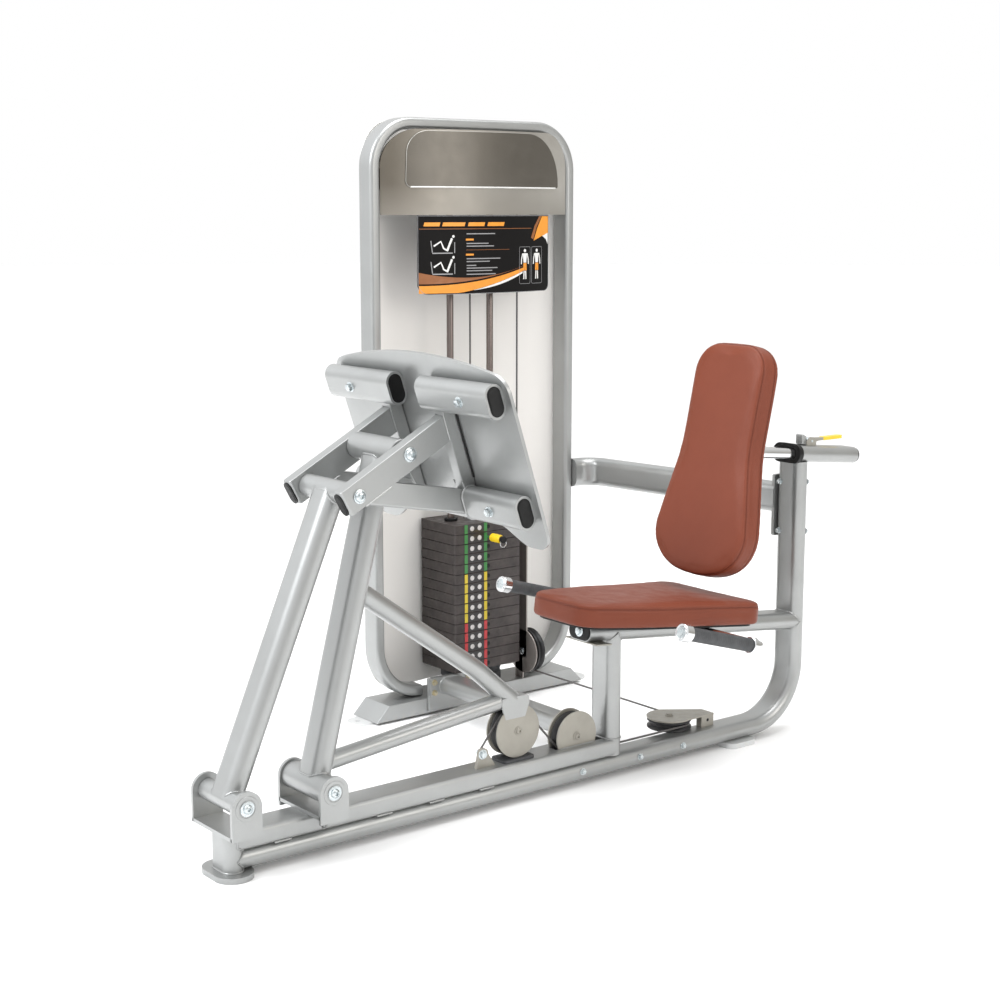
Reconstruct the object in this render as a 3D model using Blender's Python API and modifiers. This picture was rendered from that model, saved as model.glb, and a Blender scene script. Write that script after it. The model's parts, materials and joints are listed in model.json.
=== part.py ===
"""Seated leg press machine with a selectorised weight stack.

The design frame has +X along the base rail from the front post to the seat, +Y toward the
weight tower and +Z up, with x = 0 on the front post and y = 0 on the rail. The whole machine
hangs from one empty that moves the origin to the middle of its footprint on the floor.
"""

import math

import bmesh
import bpy
from mathutils import Matrix, Vector

# ---------------------------------------------------------------- driving dimensions (metres)
GAP = 0.0003
FOOTPRINT_MID = Vector((0.91984, 0.2435, 0.0))

TUBE_WIDE = 0.080
TUBE_THIN = 0.045
RAIL_Z = 0.035
RAIL_TOP = RAIL_Z + TUBE_THIN / 2
RAIL_BEND = 0.150
UPRIGHT_X = 1.675
UPRIGHT_TOP = 0.730
FOOT_TOP = 0.0135
BEAM_LOW = RAIL_TOP + GAP
BEAM_TOP = 0.098
SEAT_POST_X = 1.037
SEAT_SLOPE = math.radians(6.06)
SEAT_BEAM_AT = Vector((1.052, 0.0, 0.3586))

EAR_IN = 0.077
EAR_OUT = 0.085
EAR_ROUND = 0.035
PIVOT_PIN = 0.009
PIVOT_BORE = 0.0098
FRONT_PIVOT = Vector((0.0, 0.0, 0.163))
REAR_PIVOT = Vector((0.208, 0.0, 0.152))
FRONT_HEAD = Vector((0.262, 0.0, 0.775))
REAR_HEAD = Vector((0.388, 0.0, 0.850))
OPEN_PIN = 0.0065
OPEN_BORE = 0.0136

SIDE_IN = 0.0828
SIDE_OUT = 0.1125
PLATE_LEAN = math.radians(18.4)
PLATE_AT = Vector((0.505, 0.0, 0.9675))
PLATE_THICK = 0.0103
PLATE_HALF = 0.3135
CROSS_END = 0.300
CROSS_DEEP = 0.045
CROSS_TALL = 0.075
CROSS_UP = 0.0126
CROSS_DOWN = -0.2349

TOWER_X = 1.183
TOWER_Y = 0.725
LOOP_HALF = 0.3245
LOOP_LOW = 0.0637
LOOP_TOP = 1.568
LOOP_THIN = 0.030
LOOP_DEEP = 0.060
BASE_TOP = 0.048
BOW_RADIUS = 0.852
BOW_FRONT = 0.641
STACK_Y = 0.729
STACK_LOW = 0.106
STACK_PITCH = 0.0272
STACK_HALF_X = 0.1125
STACK_HALF_Y = 0.079
ROD_OFFSET = 0.067
ROD_RADIUS = 0.0092

CABLE = 0.0025
CABLE_Z = 0.072
PULLEY_HALF = 0.0115
AXLE = 0.006
LEVER_PULLEY = (Vector((0.750, 0.0, 0.168)), 0.052)
RAIL_PULLEY = (Vector((0.929, 0.0, 0.121)), 0.049)
FLOOR_PULLEY = (Vector((1.295, 0.050, CABLE_Z)), 0.050)
BASE_PULLEY = (Vector((1.345, 0.674, 0.127)), 0.055)
TOP_PULLEY_A = (Vector((1.311, STACK_Y, 1.440)), 0.034)
TOP_PULLEY_B = (Vector((1.217, STACK_Y, 1.440)), 0.034)
CABLE_ANCHOR = Vector((0.651, 0.0, 0.132))

BACK_LEAN = math.radians(13.5)
BACK_AT = Vector((1.374, 0.0, 0.762))
BACK_THICK = 0.068
SLEEVE_FROM = Vector((1.661, 0.0, 0.732))
SLEEVE_TO = Vector((1.880, 0.0, 0.71019))
LEVER_PIVOT = Vector((1.726, 0.0, 0.7590))
PIN_Z = STACK_LOW + 13.5 * STACK_PITCH

PIVOTS = {
    "frame": Vector((0.0, 0.0, 0.0)),
    "rear_arm": REAR_PIVOT,
    "front_arm": FRONT_PIVOT,
    "carriage": REAR_HEAD,
    "lever_wheel": LEVER_PULLEY[0],
    "rail_wheel": RAIL_PULLEY[0],
    "floor_wheel": FLOOR_PULLEY[0],
    "base_wheel": BASE_PULLEY[0],
    "top_wheel_a": TOP_PULLEY_A[0],
    "top_wheel_b": TOP_PULLEY_B[0],
    "stack": Vector((TOWER_X, STACK_Y, 0.514)),
    "selector": Vector((TOWER_X, 0.650, PIN_Z)),
    "backrest": SLEEVE_FROM,
    "lever": LEVER_PIVOT,
}

PAINT = ("frame_paint", (0.55, 0.56, 0.55), 0.35, 0.6)
DARK_PAINT = ("header_metal", (0.20, 0.18, 0.16), 0.35, 0.7)
NAME_PAINT = ("name_plate", (0.13, 0.115, 0.10), 0.4, 0.6)
SHROUD = ("frosted_panel", (0.80, 0.80, 0.77), 0.5, 0.0)
LEATHER = ("upholstery", (0.33, 0.10, 0.055), 0.45, 0.0)
BLACK = ("black_plastic", (0.02, 0.02, 0.02), 0.45, 0.0)
RUBBER = ("black_rubber", (0.025, 0.025, 0.025), 0.8, 0.0)
CHROME = ("chrome", (0.75, 0.76, 0.77), 0.12, 1.0)
PLATES = ("stack_plate", (0.05, 0.045, 0.042), 0.5, 0.6)
PULLEY = ("pulley_nylon", (0.02, 0.02, 0.022), 0.4, 0.0)
SIGN = ("placard", (0.015, 0.014, 0.014), 0.4, 0.0)
YELLOW = ("yellow_grip", (0.85, 0.62, 0.02), 0.4, 0.0)
WIRE = ("cable_cover", (0.06, 0.06, 0.06), 0.5, 0.0)

# ---------------------------------------------------------------- planes for flat outlines
ALONG_XZ = Matrix(((1, 0, 0, 0), (0, 0, -1, 0), (0, 1, 0, 0), (0, 0, 0, 1)))
ALONG_YZ = Matrix(((0, 0, 1, 0), (1, 0, 0, 0), (0, 1, 0, 0), (0, 0, 0, 1)))
AXIS_Y = Matrix.Rotation(math.radians(90), 4, "X")
AXIS_X = Matrix.Rotation(math.radians(90), 4, "Y")


def start_scene():
    for obj in list(bpy.data.objects):
        bpy.data.objects.remove(obj)
    groups = []
    for name in ("leg_press", "cutters"):
        group = bpy.data.collections.new(name)
        bpy.context.scene.collection.children.link(group)
        groups.append(group)
    return groups


PARTS, CUTTERS = start_scene()


def make_empties():
    root = bpy.data.objects.new("leg_press_origin", None)
    PARTS.objects.link(root)
    root.location = -FOOTPRINT_MID
    empties = {}
    for name, pivot in PIVOTS.items():
        empty = bpy.data.objects.new("axis_" + name, None)
        empty.empty_display_size = 0.05
        PARTS.objects.link(empty)
        empty.parent = root
        empty.location = pivot
        empties[name] = empty
    return root, empties


ROOT, EMPTIES = make_empties()


def material(look):
    name, colour, roughness, metallic = look
    found = bpy.data.materials.get(name)
    if found:
        return found
    made = bpy.data.materials.new(name)
    made.use_nodes = True
    shader = made.node_tree.nodes["Principled BSDF"]
    shader.inputs["Base Color"].default_value = (*colour, 1.0)
    shader.inputs["Roughness"].default_value = roughness
    shader.inputs["Metallic"].default_value = metallic
    made.diffuse_color = (*colour, 1.0)
    return made


def node(name, mesh, look, body="frame"):
    """One named sub-part. The mesh is in the design frame; its origin goes to the body's axis."""
    mesh.name = name
    mesh.transform(Matrix.Translation(-PIVOTS[body]))
    mesh.materials.clear()
    mesh.materials.append(material(look))
    obj = bpy.data.objects.new(name, mesh)
    PARTS.objects.link(obj)
    obj.parent = EMPTIES[body]
    return obj


def boolean(obj, mesh, operation):
    helper = bpy.data.objects.new(obj.name + "_" + operation.lower(), mesh)
    CUTTERS.objects.link(helper)
    helper.parent = ROOT
    helper.hide_render = True
    helper.display_type = "WIRE"
    step = obj.modifiers.new(operation.title(), "BOOLEAN")
    step.operation = operation
    step.solver = "EXACT"
    step.object = helper
    return obj


def cut(obj, mesh):
    return boolean(obj, mesh, "DIFFERENCE")


def weld(obj, mesh):
    return boolean(obj, mesh, "UNION")


def soften(obj, width, segments=2, angle=40):
    edge = obj.modifiers.new("Bevel", "BEVEL")
    edge.width = width
    edge.segments = segments
    edge.limit_method = "ANGLE"
    edge.angle_limit = math.radians(angle)
    return obj


# ---------------------------------------------------------------- shapes
def tidy(mesh):
    work = bmesh.new()
    work.from_mesh(mesh)
    bmesh.ops.remove_doubles(work, verts=work.verts, dist=0.00001)
    bmesh.ops.recalc_face_normals(work, faces=work.faces)
    if work.calc_volume(signed=True) < 0:
        bmesh.ops.reverse_faces(work, faces=work.faces)
    work.to_mesh(mesh)
    work.free()
    return mesh


def curve_mesh(curve, matrix):
    """The evaluated solid of a curve, moved by the matrix."""
    holder = bpy.data.objects.new("curve", curve)
    bpy.context.scene.collection.objects.link(holder)
    graph = bpy.context.evaluated_depsgraph_get()
    mesh = bpy.data.meshes.new_from_object(holder.evaluated_get(graph))
    bpy.data.objects.remove(holder)
    mesh.transform(matrix)
    return tidy(mesh)


def line_curve(points, closed, kind):
    curve = bpy.data.curves.new("line", "CURVE")
    curve.dimensions = kind
    add_spline(curve, points, closed)
    return curve


def add_spline(curve, points, closed):
    spline = curve.splines.new("POLY")
    spline.points.add(len(points) - 1)
    for spot, point in zip(spline.points, points):
        height = point[2] if len(point) > 2 else 0.0
        spot.co = (point[0], point[1], height, 1.0)
    spline.use_cyclic_u = closed


def prism(outline, thick, matrix, holes=()):
    """A flat outline with holes, filled and extruded evenly to both sides of its plane."""
    curve = line_curve(outline, True, "2D")
    for hole in holes:
        add_spline(curve, hole, True)
    curve.fill_mode = "BOTH"
    curve.extrude = thick / 2
    return curve_mesh(curve, matrix)


def sweep(path, profile, matrix, closed=False):
    """A profile carried along a path in one plane: profile x is in the plane, y across it."""
    section = bpy.data.objects.new("section", line_curve(profile, True, "2D"))
    bpy.context.scene.collection.objects.link(section)
    curve = line_curve(path, closed, "2D")
    curve.fill_mode = "NONE"
    curve.bevel_mode = "OBJECT"
    curve.bevel_object = section
    curve.use_fill_caps = not closed
    mesh = curve_mesh(curve, matrix)
    bpy.data.objects.remove(section)
    return mesh


def box(low, high):
    low = Vector(low)
    size = Vector(high) - low
    work = bmesh.new()
    bmesh.ops.create_cube(work, size=1.0)
    place = Matrix.Translation(low + size / 2) @ Matrix.Diagonal((*size, 1.0))
    bmesh.ops.transform(work, matrix=place, verts=work.verts)
    mesh = bpy.data.meshes.new("box")
    work.to_mesh(mesh)
    work.free()
    return mesh


def cylinder(centre, radius, length, matrix=Matrix.Identity(4), sides=24):
    work = bmesh.new()
    bmesh.ops.create_cone(
        work, cap_ends=True, segments=sides, radius1=radius, radius2=radius, depth=length
    )
    place = Matrix.Translation(centre) @ matrix
    bmesh.ops.transform(work, matrix=place, verts=work.verts)
    mesh = bpy.data.meshes.new("cylinder")
    work.to_mesh(mesh)
    work.free()
    return mesh


def turned(name, outline, closed, place, look, body, steps):
    """A Screw of an outline of (radius, height), run from the top down its outer side."""
    mesh = bpy.data.meshes.new(name)
    count = len(outline)
    edges = [(i, i + 1) for i in range(count - 1)]
    if closed:
        edges.append((count - 1, 0))
    mesh.from_pydata([(r, 0.0, z) for r, z in outline], edges, [])
    mesh.materials.append(material(look))
    obj = bpy.data.objects.new(name, mesh)
    PARTS.objects.link(obj)
    obj.parent = EMPTIES[body]
    obj.matrix_basis = Matrix.Translation(-PIVOTS[body]) @ place
    turn = obj.modifiers.new("Screw", "SCREW")
    turn.axis = "Z"
    turn.steps = steps
    turn.render_steps = steps
    turn.use_merge_vertices = True
    turn.merge_threshold = 0.00001
    return obj


def rounded(wide, tall, radius, steps=5):
    """A rectangle outline with round corners, about its own centre."""
    corners = []
    for sign_x, sign_y, start in ((1, 1, 0), (-1, 1, 90), (-1, -1, 180), (1, -1, 270)):
        centre_x = sign_x * (wide / 2 - radius)
        centre_y = sign_y * (tall / 2 - radius)
        for step in range(steps + 1):
            turn = math.radians(start + 90 * step / steps)
            corners.append(
                (centre_x + radius * math.cos(turn), centre_y + radius * math.sin(turn))
            )
    return distinct(corners)


def distinct(points):
    kept = [points[0]]
    for point in points[1:]:
        if math.dist(point, kept[-1]) > 0.00005:
            kept.append(point)
    if math.dist(kept[0], kept[-1]) < 0.00005:
        kept.pop()
    return kept


def flat_oval(thin=TUBE_THIN, wide=TUBE_WIDE, grow=0.0):
    return rounded(thin + 2 * grow, wide + 2 * grow, min(thin, wide) / 2 + grow, 4)


def arc(centre, radius, start, end, steps):
    points = []
    for step in range(steps + 1):
        turn = math.radians(start + (end - start) * step / steps)
        points.append(
            (centre[0] + radius * math.cos(turn), centre[1] + radius * math.sin(turn))
        )
    return points


def filleted(corners, radii, closed=True, steps=6):
    """A polygon with each corner rounded by its own radius."""
    count = len(corners)
    result = []
    for index, (corner, radius) in enumerate(zip(corners, radii)):
        here = Vector(corner)
        if radius == 0 or (not closed and index in (0, count - 1)):
            result.append(tuple(here))
            continue
        back = (Vector(corners[index - 1]) - here).normalized()
        ahead = (Vector(corners[(index + 1) % count]) - here).normalized()
        half = back.angle(ahead) / 2
        middle = here + (back + ahead).normalized() * radius / math.sin(half)
        first = here + back * radius / math.tan(half) - middle
        sweep_angle = first.angle_signed(here + ahead * radius / math.tan(half) - middle)
        for step in range(steps + 1):
            turn = Matrix.Rotation(-sweep_angle * step / steps, 2)
            result.append(tuple(middle + turn @ first))
    return result


def bow(half_x, outer, inner, centre_x=TOWER_X, steps=14):
    """The plan outline of a sheet bowed forward, between two radii about one centre."""
    middle = (TOWER_X, BOW_FRONT + BOW_RADIUS)
    shift = centre_x - TOWER_X
    left = math.asin((-half_x + shift) / outer)
    right = math.asin((half_x + shift) / outer)
    points = []
    for radius, ends in ((outer, (left, right)), (inner, (right, left))):
        for step in range(steps + 1):
            turn = ends[0] + (ends[1] - ends[0]) * step / steps
            points.append(
                (middle[0] + radius * math.sin(turn), middle[1] - radius * math.cos(turn))
            )
    return points


def along(start, end):
    """The matrix that lays a local +Z onto the line from start to end, about its middle."""
    way = Vector(end) - Vector(start)
    turn = way.to_track_quat("Z", "Y").to_matrix().to_4x4()
    return Matrix.Translation((Vector(start) + Vector(end)) / 2) @ turn


def move(x=0.0, y=0.0, z=0.0):
    return Matrix.Translation((x, y, z))


def slope(origin, turn):
    """Local x up the slope, local y across it, local z out of it, in the XZ plane."""
    return Matrix.Translation(origin) @ Matrix.Rotation(turn, 4, "Y")


# ---------------------------------------------------------------- base frame
def post_section(grow=0.0):
    return flat_oval(TUBE_THIN, TUBE_WIDE, grow)


def upright_post(x, low, high, grow=0.0):
    return prism(post_section(grow), high - low, move(x, 0.0, (low + high) / 2))


def rail_path():
    bend = arc((UPRIGHT_X - RAIL_BEND, RAIL_Z + RAIL_BEND), RAIL_BEND, -90, 0, 9)
    return [(0.0, RAIL_Z), *bend, (UPRIGHT_X, UPRIGHT_TOP)]


def rail_solid(grow=0.0):
    return sweep(rail_path(), flat_oval(grow=grow), ALONG_XZ)


def sleeve_solid(grow=0.0, longer=0.0):
    length = (SLEEVE_TO - SLEEVE_FROM).length + 2 * longer
    return prism(sleeve_section(grow), length, along(SLEEVE_FROM, SLEEVE_TO))


def sleeve_section(grow=0.0):
    return rounded(0.086 + 2 * grow, 0.044 + 2 * grow, 0.0219 + grow, 5)


def collar_solid(grow=0.0, holes=()):
    way = (SLEEVE_TO - SLEEVE_FROM).normalized()
    front = SLEEVE_FROM - way * (0.0143 + grow)
    back = SLEEVE_FROM - way * (GAP - grow)
    section = rounded(0.096 + 2 * grow, 0.050 + 2 * grow, 0.0245 + grow, 6)
    return prism(section, 0.014 + 2 * grow, along(front, back), holes)


def main_rail():
    obj = node("main_rail", rail_solid(), PAINT)
    weld(obj, prism(rounded(0.095, 0.110, 0.020), FOOT_TOP, move(1.4625, 0.0, FOOT_TOP / 2)))
    cut(obj, upright_post(0.0, -0.02, 0.2, GAP))
    cut(obj, sleeve_solid(GAP, 0.04))
    cut(obj, collar_solid(GAP))


def front_post():
    obj = node("front_post", upright_post(0.0, 0.006, BEAM_TOP), PAINT)
    weld(obj, prism(rounded(0.085, 0.130, 0.0424, 8), 0.0122, move(0.0, 0.0, 0.0061)))


def upper_beam():
    tall = BEAM_TOP - BEAM_LOW
    section = rounded(tall, TUBE_WIDE, 0.009, 3)
    middle = (BEAM_LOW + BEAM_TOP) / 2
    beam = sweep([(0.0, middle), (SEAT_POST_X, middle)], section, ALONG_XZ)
    obj = node("upper_beam", beam, PAINT)
    cut(obj, upright_post(0.0, -0.02, 0.2, GAP))
    cut(obj, upright_post(SEAT_POST_X, -0.02, 0.2, GAP))
    cut(obj, box((0.864, -0.0135, 0.0), (SEAT_POST_X + 0.03, 0.0135, 0.2)))


def seat_beam_line(start_x, end_x):
    reach = (start_x - SEAT_BEAM_AT.x, end_x - SEAT_BEAM_AT.x)
    return [(SEAT_BEAM_AT.x + r, SEAT_BEAM_AT.z - r * math.tan(SEAT_SLOPE)) for r in reach]


def seat_beam_solid(grow=0.0):
    return sweep(seat_beam_line(0.952 - grow, UPRIGHT_X), flat_oval(grow=grow), ALONG_XZ)


def seat_beam():
    obj = node("seat_beam", seat_beam_solid(), PAINT)
    cut(obj, rail_solid(GAP))
    cut(obj, handle_solid(GAP))


def seat_post():
    obj = node("seat_post", upright_post(SEAT_POST_X, BEAM_LOW, 0.357), PAINT)
    cut(obj, seat_beam_solid(GAP))
    cut(obj, box((0.99, -0.008, 0.0), (1.09, 0.008, 0.082)))


def cross_tube():
    section = flat_oval(TUBE_WIDE, TUBE_THIN)
    tube = prism(section, 0.635, move(1.060, 0.3395, 0.0785) @ AXIS_Y)
    obj = node("cross_tube", tube, PAINT)
    weld(obj, box((0.990, 0.6545, 0.053), (1.130, 0.6627, 0.103)))
    cut(obj, rail_solid(GAP))
    cut(obj, upright_post(SEAT_POST_X, 0.0, 0.2, GAP))
    cut(obj, box((0.9, -0.1, BEAM_LOW - GAP), (SEAT_POST_X, 0.0403, BEAM_TOP + GAP)))


def side_arch():
    corners = [(1.5218, 0.700), (1.592, 0.700), (1.6695, 0.0445)]
    path = filleted(corners, (0, 0.062, 0), closed=False)
    obj = node("side_arch", sweep(path, flat_oval(), move(z=0.611)), PAINT)
    weld(obj, box((1.6500, 0.0405, 0.511), (1.7000, 0.0490, 0.672)))
    cut(obj, loop_solid(GAP))


def clevis(name, pivot, base_low, ear_low, look=PAINT):
    """A U of bent plate: base under the pivot tube and two ears with round tops."""
    half = EAR_ROUND
    top = arc((pivot.x, pivot.z), half, 0, 180, 10)
    outline = [(pivot.x + half, ear_low), *top, (pivot.x - half, ear_low)]
    hole = arc((pivot.x, pivot.z), PIVOT_PIN + 0.0005, 0, 337.5, 15)
    thick = EAR_OUT - EAR_IN
    middle = (EAR_OUT + EAR_IN) / 2
    obj = node(name, prism(outline, thick, move(y=-middle) @ ALONG_XZ, [hole]), look)
    weld(obj, prism(outline, thick, move(y=middle) @ ALONG_XZ, [hole]))
    low = (pivot.x - half, -EAR_OUT + 0.002, base_low)
    high = (pivot.x + half, EAR_OUT - 0.002, base_low + 0.008)
    weld(obj, box(low, high))
    return obj


def clevises():
    clevis("front_clevis", FRONT_PIVOT, BEAM_TOP + GAP, BEAM_TOP + GAP)
    rear = clevis("rear_clevis", REAR_PIVOT, BEAM_TOP + GAP, 0.088)
    for side in (-1, 1):
        outline = [(side * 0.0404, 0.0995), (side * 0.0404, 0.062), (side * 0.078, 0.0995)]
        weld(rear, prism(outline, 0.006, move(x=REAR_PIVOT.x) @ ALONG_YZ))


def pin(name, centre, shaft, half_in, head, body, thick=0.008):
    """A pivot bolt lying along Y with a round head at each end, seated just off the plates."""
    top = half_in + thick
    outline = [(0.0, top), (head * 0.8, top), (head, top - 0.002), (head, half_in)]
    outline += [(shaft, half_in), (shaft, -half_in), (head, -half_in)]
    outline += [(head, -top + 0.002), (head * 0.8, -top), (0.0, -top)]
    place = Matrix.Translation(centre) @ AXIS_Y
    turned(name, outline, False, place, CHROME, body, 16)


def pivot_pins():
    pin("front_pivot_pin", FRONT_PIVOT, PIVOT_PIN, EAR_OUT + GAP, 0.017, "frame")
    pin("rear_pivot_pin", REAR_PIVOT, PIVOT_PIN, EAR_OUT + GAP, 0.017, "frame")
    pin("carriage_rear_pin", REAR_HEAD, PIVOT_PIN, SIDE_OUT + GAP, 0.016, "carriage")
    pin("carriage_front_pin", FRONT_HEAD, OPEN_PIN, SIDE_OUT + GAP, 0.015, "carriage")


# ---------------------------------------------------------------- seat, handles and backrest
def seat_plan(inset=0.0):
    front = 0.102 - inset
    rear = 0.169 - inset
    corners = [(inset, -front), (0.16, -0.138 + inset), (0.531 - inset, -rear)]
    corners += [(0.531 - inset, rear), (0.16, 0.138 - inset), (inset, front)]
    return filleted(corners, (0.055, 0.25, 0.036, 0.036, 0.25, 0.055), steps=5)


def seat_place(up):
    """Local x runs back along the seat and local z is square to it, above the beam."""
    start = Vector((0.870, 0.0, SEAT_BEAM_AT.z + (1.052 - 0.870) * math.tan(SEAT_SLOPE)))
    return slope(start, SEAT_SLOPE) @ move(z=TUBE_THIN / 2 + up)


def seat():
    thick = 0.0575
    pad = prism(seat_plan(), thick, seat_place(0.0068 + thick / 2))
    soften(node("seat_pad", pad, LEATHER), 0.012)
    board = prism(seat_plan(0.012), 0.0060, seat_place(GAP + 0.0030))
    node("seat_board", board, BLACK)


def handle_place():
    """The tilted plane of the handle bar, x back along the grips and y to the left."""
    return slope(Vector((0.974, 0.0, 0.424)), math.atan2(0.078, 0.271))


def handle_solid(grow=0.0):
    corners = [(0.0, -0.323), (0.282, -0.323), (0.282, 0.323), (0.0, 0.323)]
    path = filleted(corners, (0, 0.045, 0.045, 0), closed=False, steps=5)
    section = rounded(0.025 + 2 * grow, 0.025 + 2 * grow, 0.0125 + grow, 3)
    return sweep(path, section, handle_place())


def handles():
    obj = node("handle_bar", handle_solid(), CHROME)
    for side in (-1, 1):
        for spot, long, radius in ((0.006, 0.026, 0.0200), (0.227, 0.012, 0.0190)):
            place = handle_place() @ move(spot, side * 0.323, 0.0) @ AXIS_X
            weld(obj, cylinder((0, 0, 0), radius, long, place, 16))
        place = handle_place() @ move(0.120, side * 0.323, 0.0) @ AXIS_X
        half = 0.1005
        outline = [(0.0130, half), (0.0160, half), (0.0160, -half), (0.0130, -half)]
        name = "grip_right" if side < 0 else "grip_left"
        turned(name, outline, True, place, RUBBER, "frame", 16)


def back_place(out):
    """Local x runs up the backrest, local y across it and local z out of its front."""
    normal = Vector((-math.cos(BACK_LEAN), 0.0, math.sin(BACK_LEAN)))
    upward = Vector((math.sin(BACK_LEAN), 0.0, math.cos(BACK_LEAN)))
    across = normal.cross(upward)
    turn = Matrix((upward, across, normal)).transposed().to_4x4()
    return Matrix.Translation(BACK_AT + normal * out) @ turn


def back_plan(inset=0.0):
    half = [(0.2720, 0.1150), (0.000, 0.1190), (-0.222, 0.1640), (-0.3085, 0.110)]
    corners = [(up, -across) for up, across in half]
    corners += half[::-1]
    return filleted(corners, (0.058, 0.40, 0.070, 0.085, 0.085, 0.070, 0.40, 0.058), steps=4)


def backrest():
    pad = prism(back_plan(), BACK_THICK, back_place(-BACK_THICK / 2))
    soften(node("back_pad", pad, LEATHER, "backrest"), 0.014)
    steel = prism(rounded(0.200, 0.110, 0.012, 3), 0.006, back_place(-BACK_THICK - 0.0033))
    obj = node("back_bracket", steel, CHROME, "backrest")
    way = (SLEEVE_TO - SLEEVE_FROM).normalized()
    start = SLEEVE_FROM - way * 0.2160
    finish = SLEEVE_FROM + way * 0.190
    shaft = prism(rounded(0.064, 0.027, 0.0134, 5), (finish - start).length, along(start, finish))
    weld(obj, shaft)


def adjuster():
    way = (SLEEVE_TO - SLEEVE_FROM).normalized()
    obj = node("adjuster_sleeve", sleeve_solid(), PAINT)
    bore_end = SLEEVE_TO - way * 0.020
    bore_start = SLEEVE_FROM - way * 0.020
    depth = (bore_end - bore_start).length
    cut(obj, prism(rounded(0.0654, 0.0284, 0.0141, 5), depth, along(bore_start, bore_end)))
    collar = collar_solid(holes=[rounded(0.0654, 0.0284, 0.0141, 5)])
    node("sleeve_bushing", collar, BLACK)
    knuckle = cylinder(LEVER_PIVOT, 0.0080, 0.022, AXIS_Y, 20)
    lever = node("adjuster_lever", knuckle, YELLOW, "lever")
    outline = [(1.728, 0.7535), (1.750, 0.7535), (1.762, 0.7560), (1.852, 0.7560)]
    outline += [(1.852, 0.7635), (1.762, 0.7640), (1.746, 0.7650), (1.728, 0.7650)]
    weld(lever, prism(outline, 0.020, ALONG_XZ))


# ---------------------------------------------------------------- press arms and carriage
def arm_section():
    return rounded(0.050, TUBE_WIDE, 0.0249, 4)


def arm_mesh(foot, head):
    return sweep([(foot.x, foot.z), (head.x, head.z)], arm_section(), ALONG_XZ)


def front_arm():
    obj = node("front_arm", arm_mesh(FRONT_PIVOT, FRONT_HEAD), PAINT, "front_arm")
    weld(obj, cylinder(FRONT_PIVOT, 0.0225, 2 * EAR_IN - 0.001, AXIS_Y, 24))
    weld(obj, cylinder(FRONT_HEAD, 0.0240, 0.1640, AXIS_Y, 24))
    cut(obj, cylinder(FRONT_PIVOT, PIVOT_BORE, 0.2, AXIS_Y, 16))
    cut(obj, cylinder(FRONT_HEAD, OPEN_BORE, 0.2, AXIS_Y, 16))


def rear_arm():
    obj = node("rear_arm", arm_mesh(REAR_PIVOT, REAR_HEAD), PAINT, "rear_arm")
    weld(obj, cylinder(REAR_PIVOT, 0.0300, 2 * EAR_IN - 0.001, AXIS_Y, 24))
    weld(obj, cylinder(REAR_HEAD, 0.0290, 0.1640, AXIS_Y, 24))
    corners = [(0.305, 0.5675), (0.640, 0.329), (0.742, 0.242)]
    upper = filleted(corners, (0, 0.30, 0), closed=False, steps=5)
    weld(obj, sweep(upper, rounded(0.044, 0.044, 0.0219, 4), ALONG_XZ))
    lower = [(0.225, 0.1895), (0.705, 0.2400)]
    weld(obj, sweep(lower, rounded(0.039, 0.040, 0.0194, 4), ALONG_XZ))
    cut(obj, box((0.6935, -0.05, 0.10), (0.85, 0.05, 0.2510)))
    cut(obj, cylinder(REAR_PIVOT, PIVOT_BORE, 0.2, AXIS_Y, 16))
    cut(obj, cylinder(REAR_HEAD, PIVOT_BORE, 0.2, AXIS_Y, 16))


def lever_bracket():
    """Two guard discs on the lever pulley, a bridge over it and its axle."""
    centre = LEVER_PULLEY[0]
    bridge = box((0.700, -0.0205, 0.2345), (0.782, 0.0205, 0.2505))
    obj = node("lever_bracket", bridge, PAINT, "rear_arm")
    for side in (-1, 1):
        at = centre + Vector((0.0, side * 0.0183, 0.0))
        weld(obj, cylinder(at, 0.0625, 0.004, AXIS_Y, 32))
        weld(obj, box((0.712, side * 0.0183 - 0.002, 0.20), (0.775, side * 0.0183 + 0.002, 0.245)))
    weld(obj, cylinder(centre, AXLE, 0.048, AXIS_Y, 10))


def press_frame(along_plate, depth):
    """A point of the plate's side view: distance up the plate, distance behind its face."""
    upward = Vector((-math.sin(PLATE_LEAN), math.cos(PLATE_LEAN)))
    behind = Vector((-math.cos(PLATE_LEAN), -math.sin(PLATE_LEAN)))
    point = Vector((PLATE_AT.x, PLATE_AT.z)) + upward * along_plate + behind * depth
    return (point.x, point.y)


def plate_place(depth):
    """Local x runs across the machine, local y up the plate and local z to the user."""
    across = Vector((0.0, 1.0, 0.0))
    upward = Vector((-math.sin(PLATE_LEAN), 0.0, math.cos(PLATE_LEAN)))
    normal = across.cross(upward)
    turn = Matrix((across, upward, normal)).transposed().to_4x4()
    return Matrix.Translation(PLATE_AT - normal * depth) @ turn


def cross_tube_solid(up, start, end, grow=0.0):
    depth = PLATE_THICK + GAP + CROSS_DEEP / 2
    corner = CROSS_DEEP / 2 + grow - 0.0002
    section = rounded(CROSS_DEEP + 2 * grow, CROSS_TALL + 2 * grow, corner, 5)
    turn = Matrix.Rotation(math.radians(90), 4, "Y")
    place = plate_place(depth) @ move((start + end) / 2, up, 0.0) @ turn
    return prism(section, abs(end - start), place)


def side_outline():
    """Side view of a carriage side frame: raked beam, plate member and lower strut."""
    lean = math.radians(28.4)
    way = Vector((math.cos(lean), math.sin(lean)))
    off = Vector((-way.y, way.x)) * 0.0290
    cap = Vector((0.2285, 0.7595))
    top = cap + off
    low = cap - off
    corners = [tuple(low), (0.2802, 0.7545), (0.549, 0.7042)]
    corners += [press_frame(-0.268, PLATE_THICK + GAP), press_frame(0.0, PLATE_THICK + GAP)]
    corners += [press_frame(-0.006, 0.048), tuple(top + way * 0.270), tuple(top)]
    return corners


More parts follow.
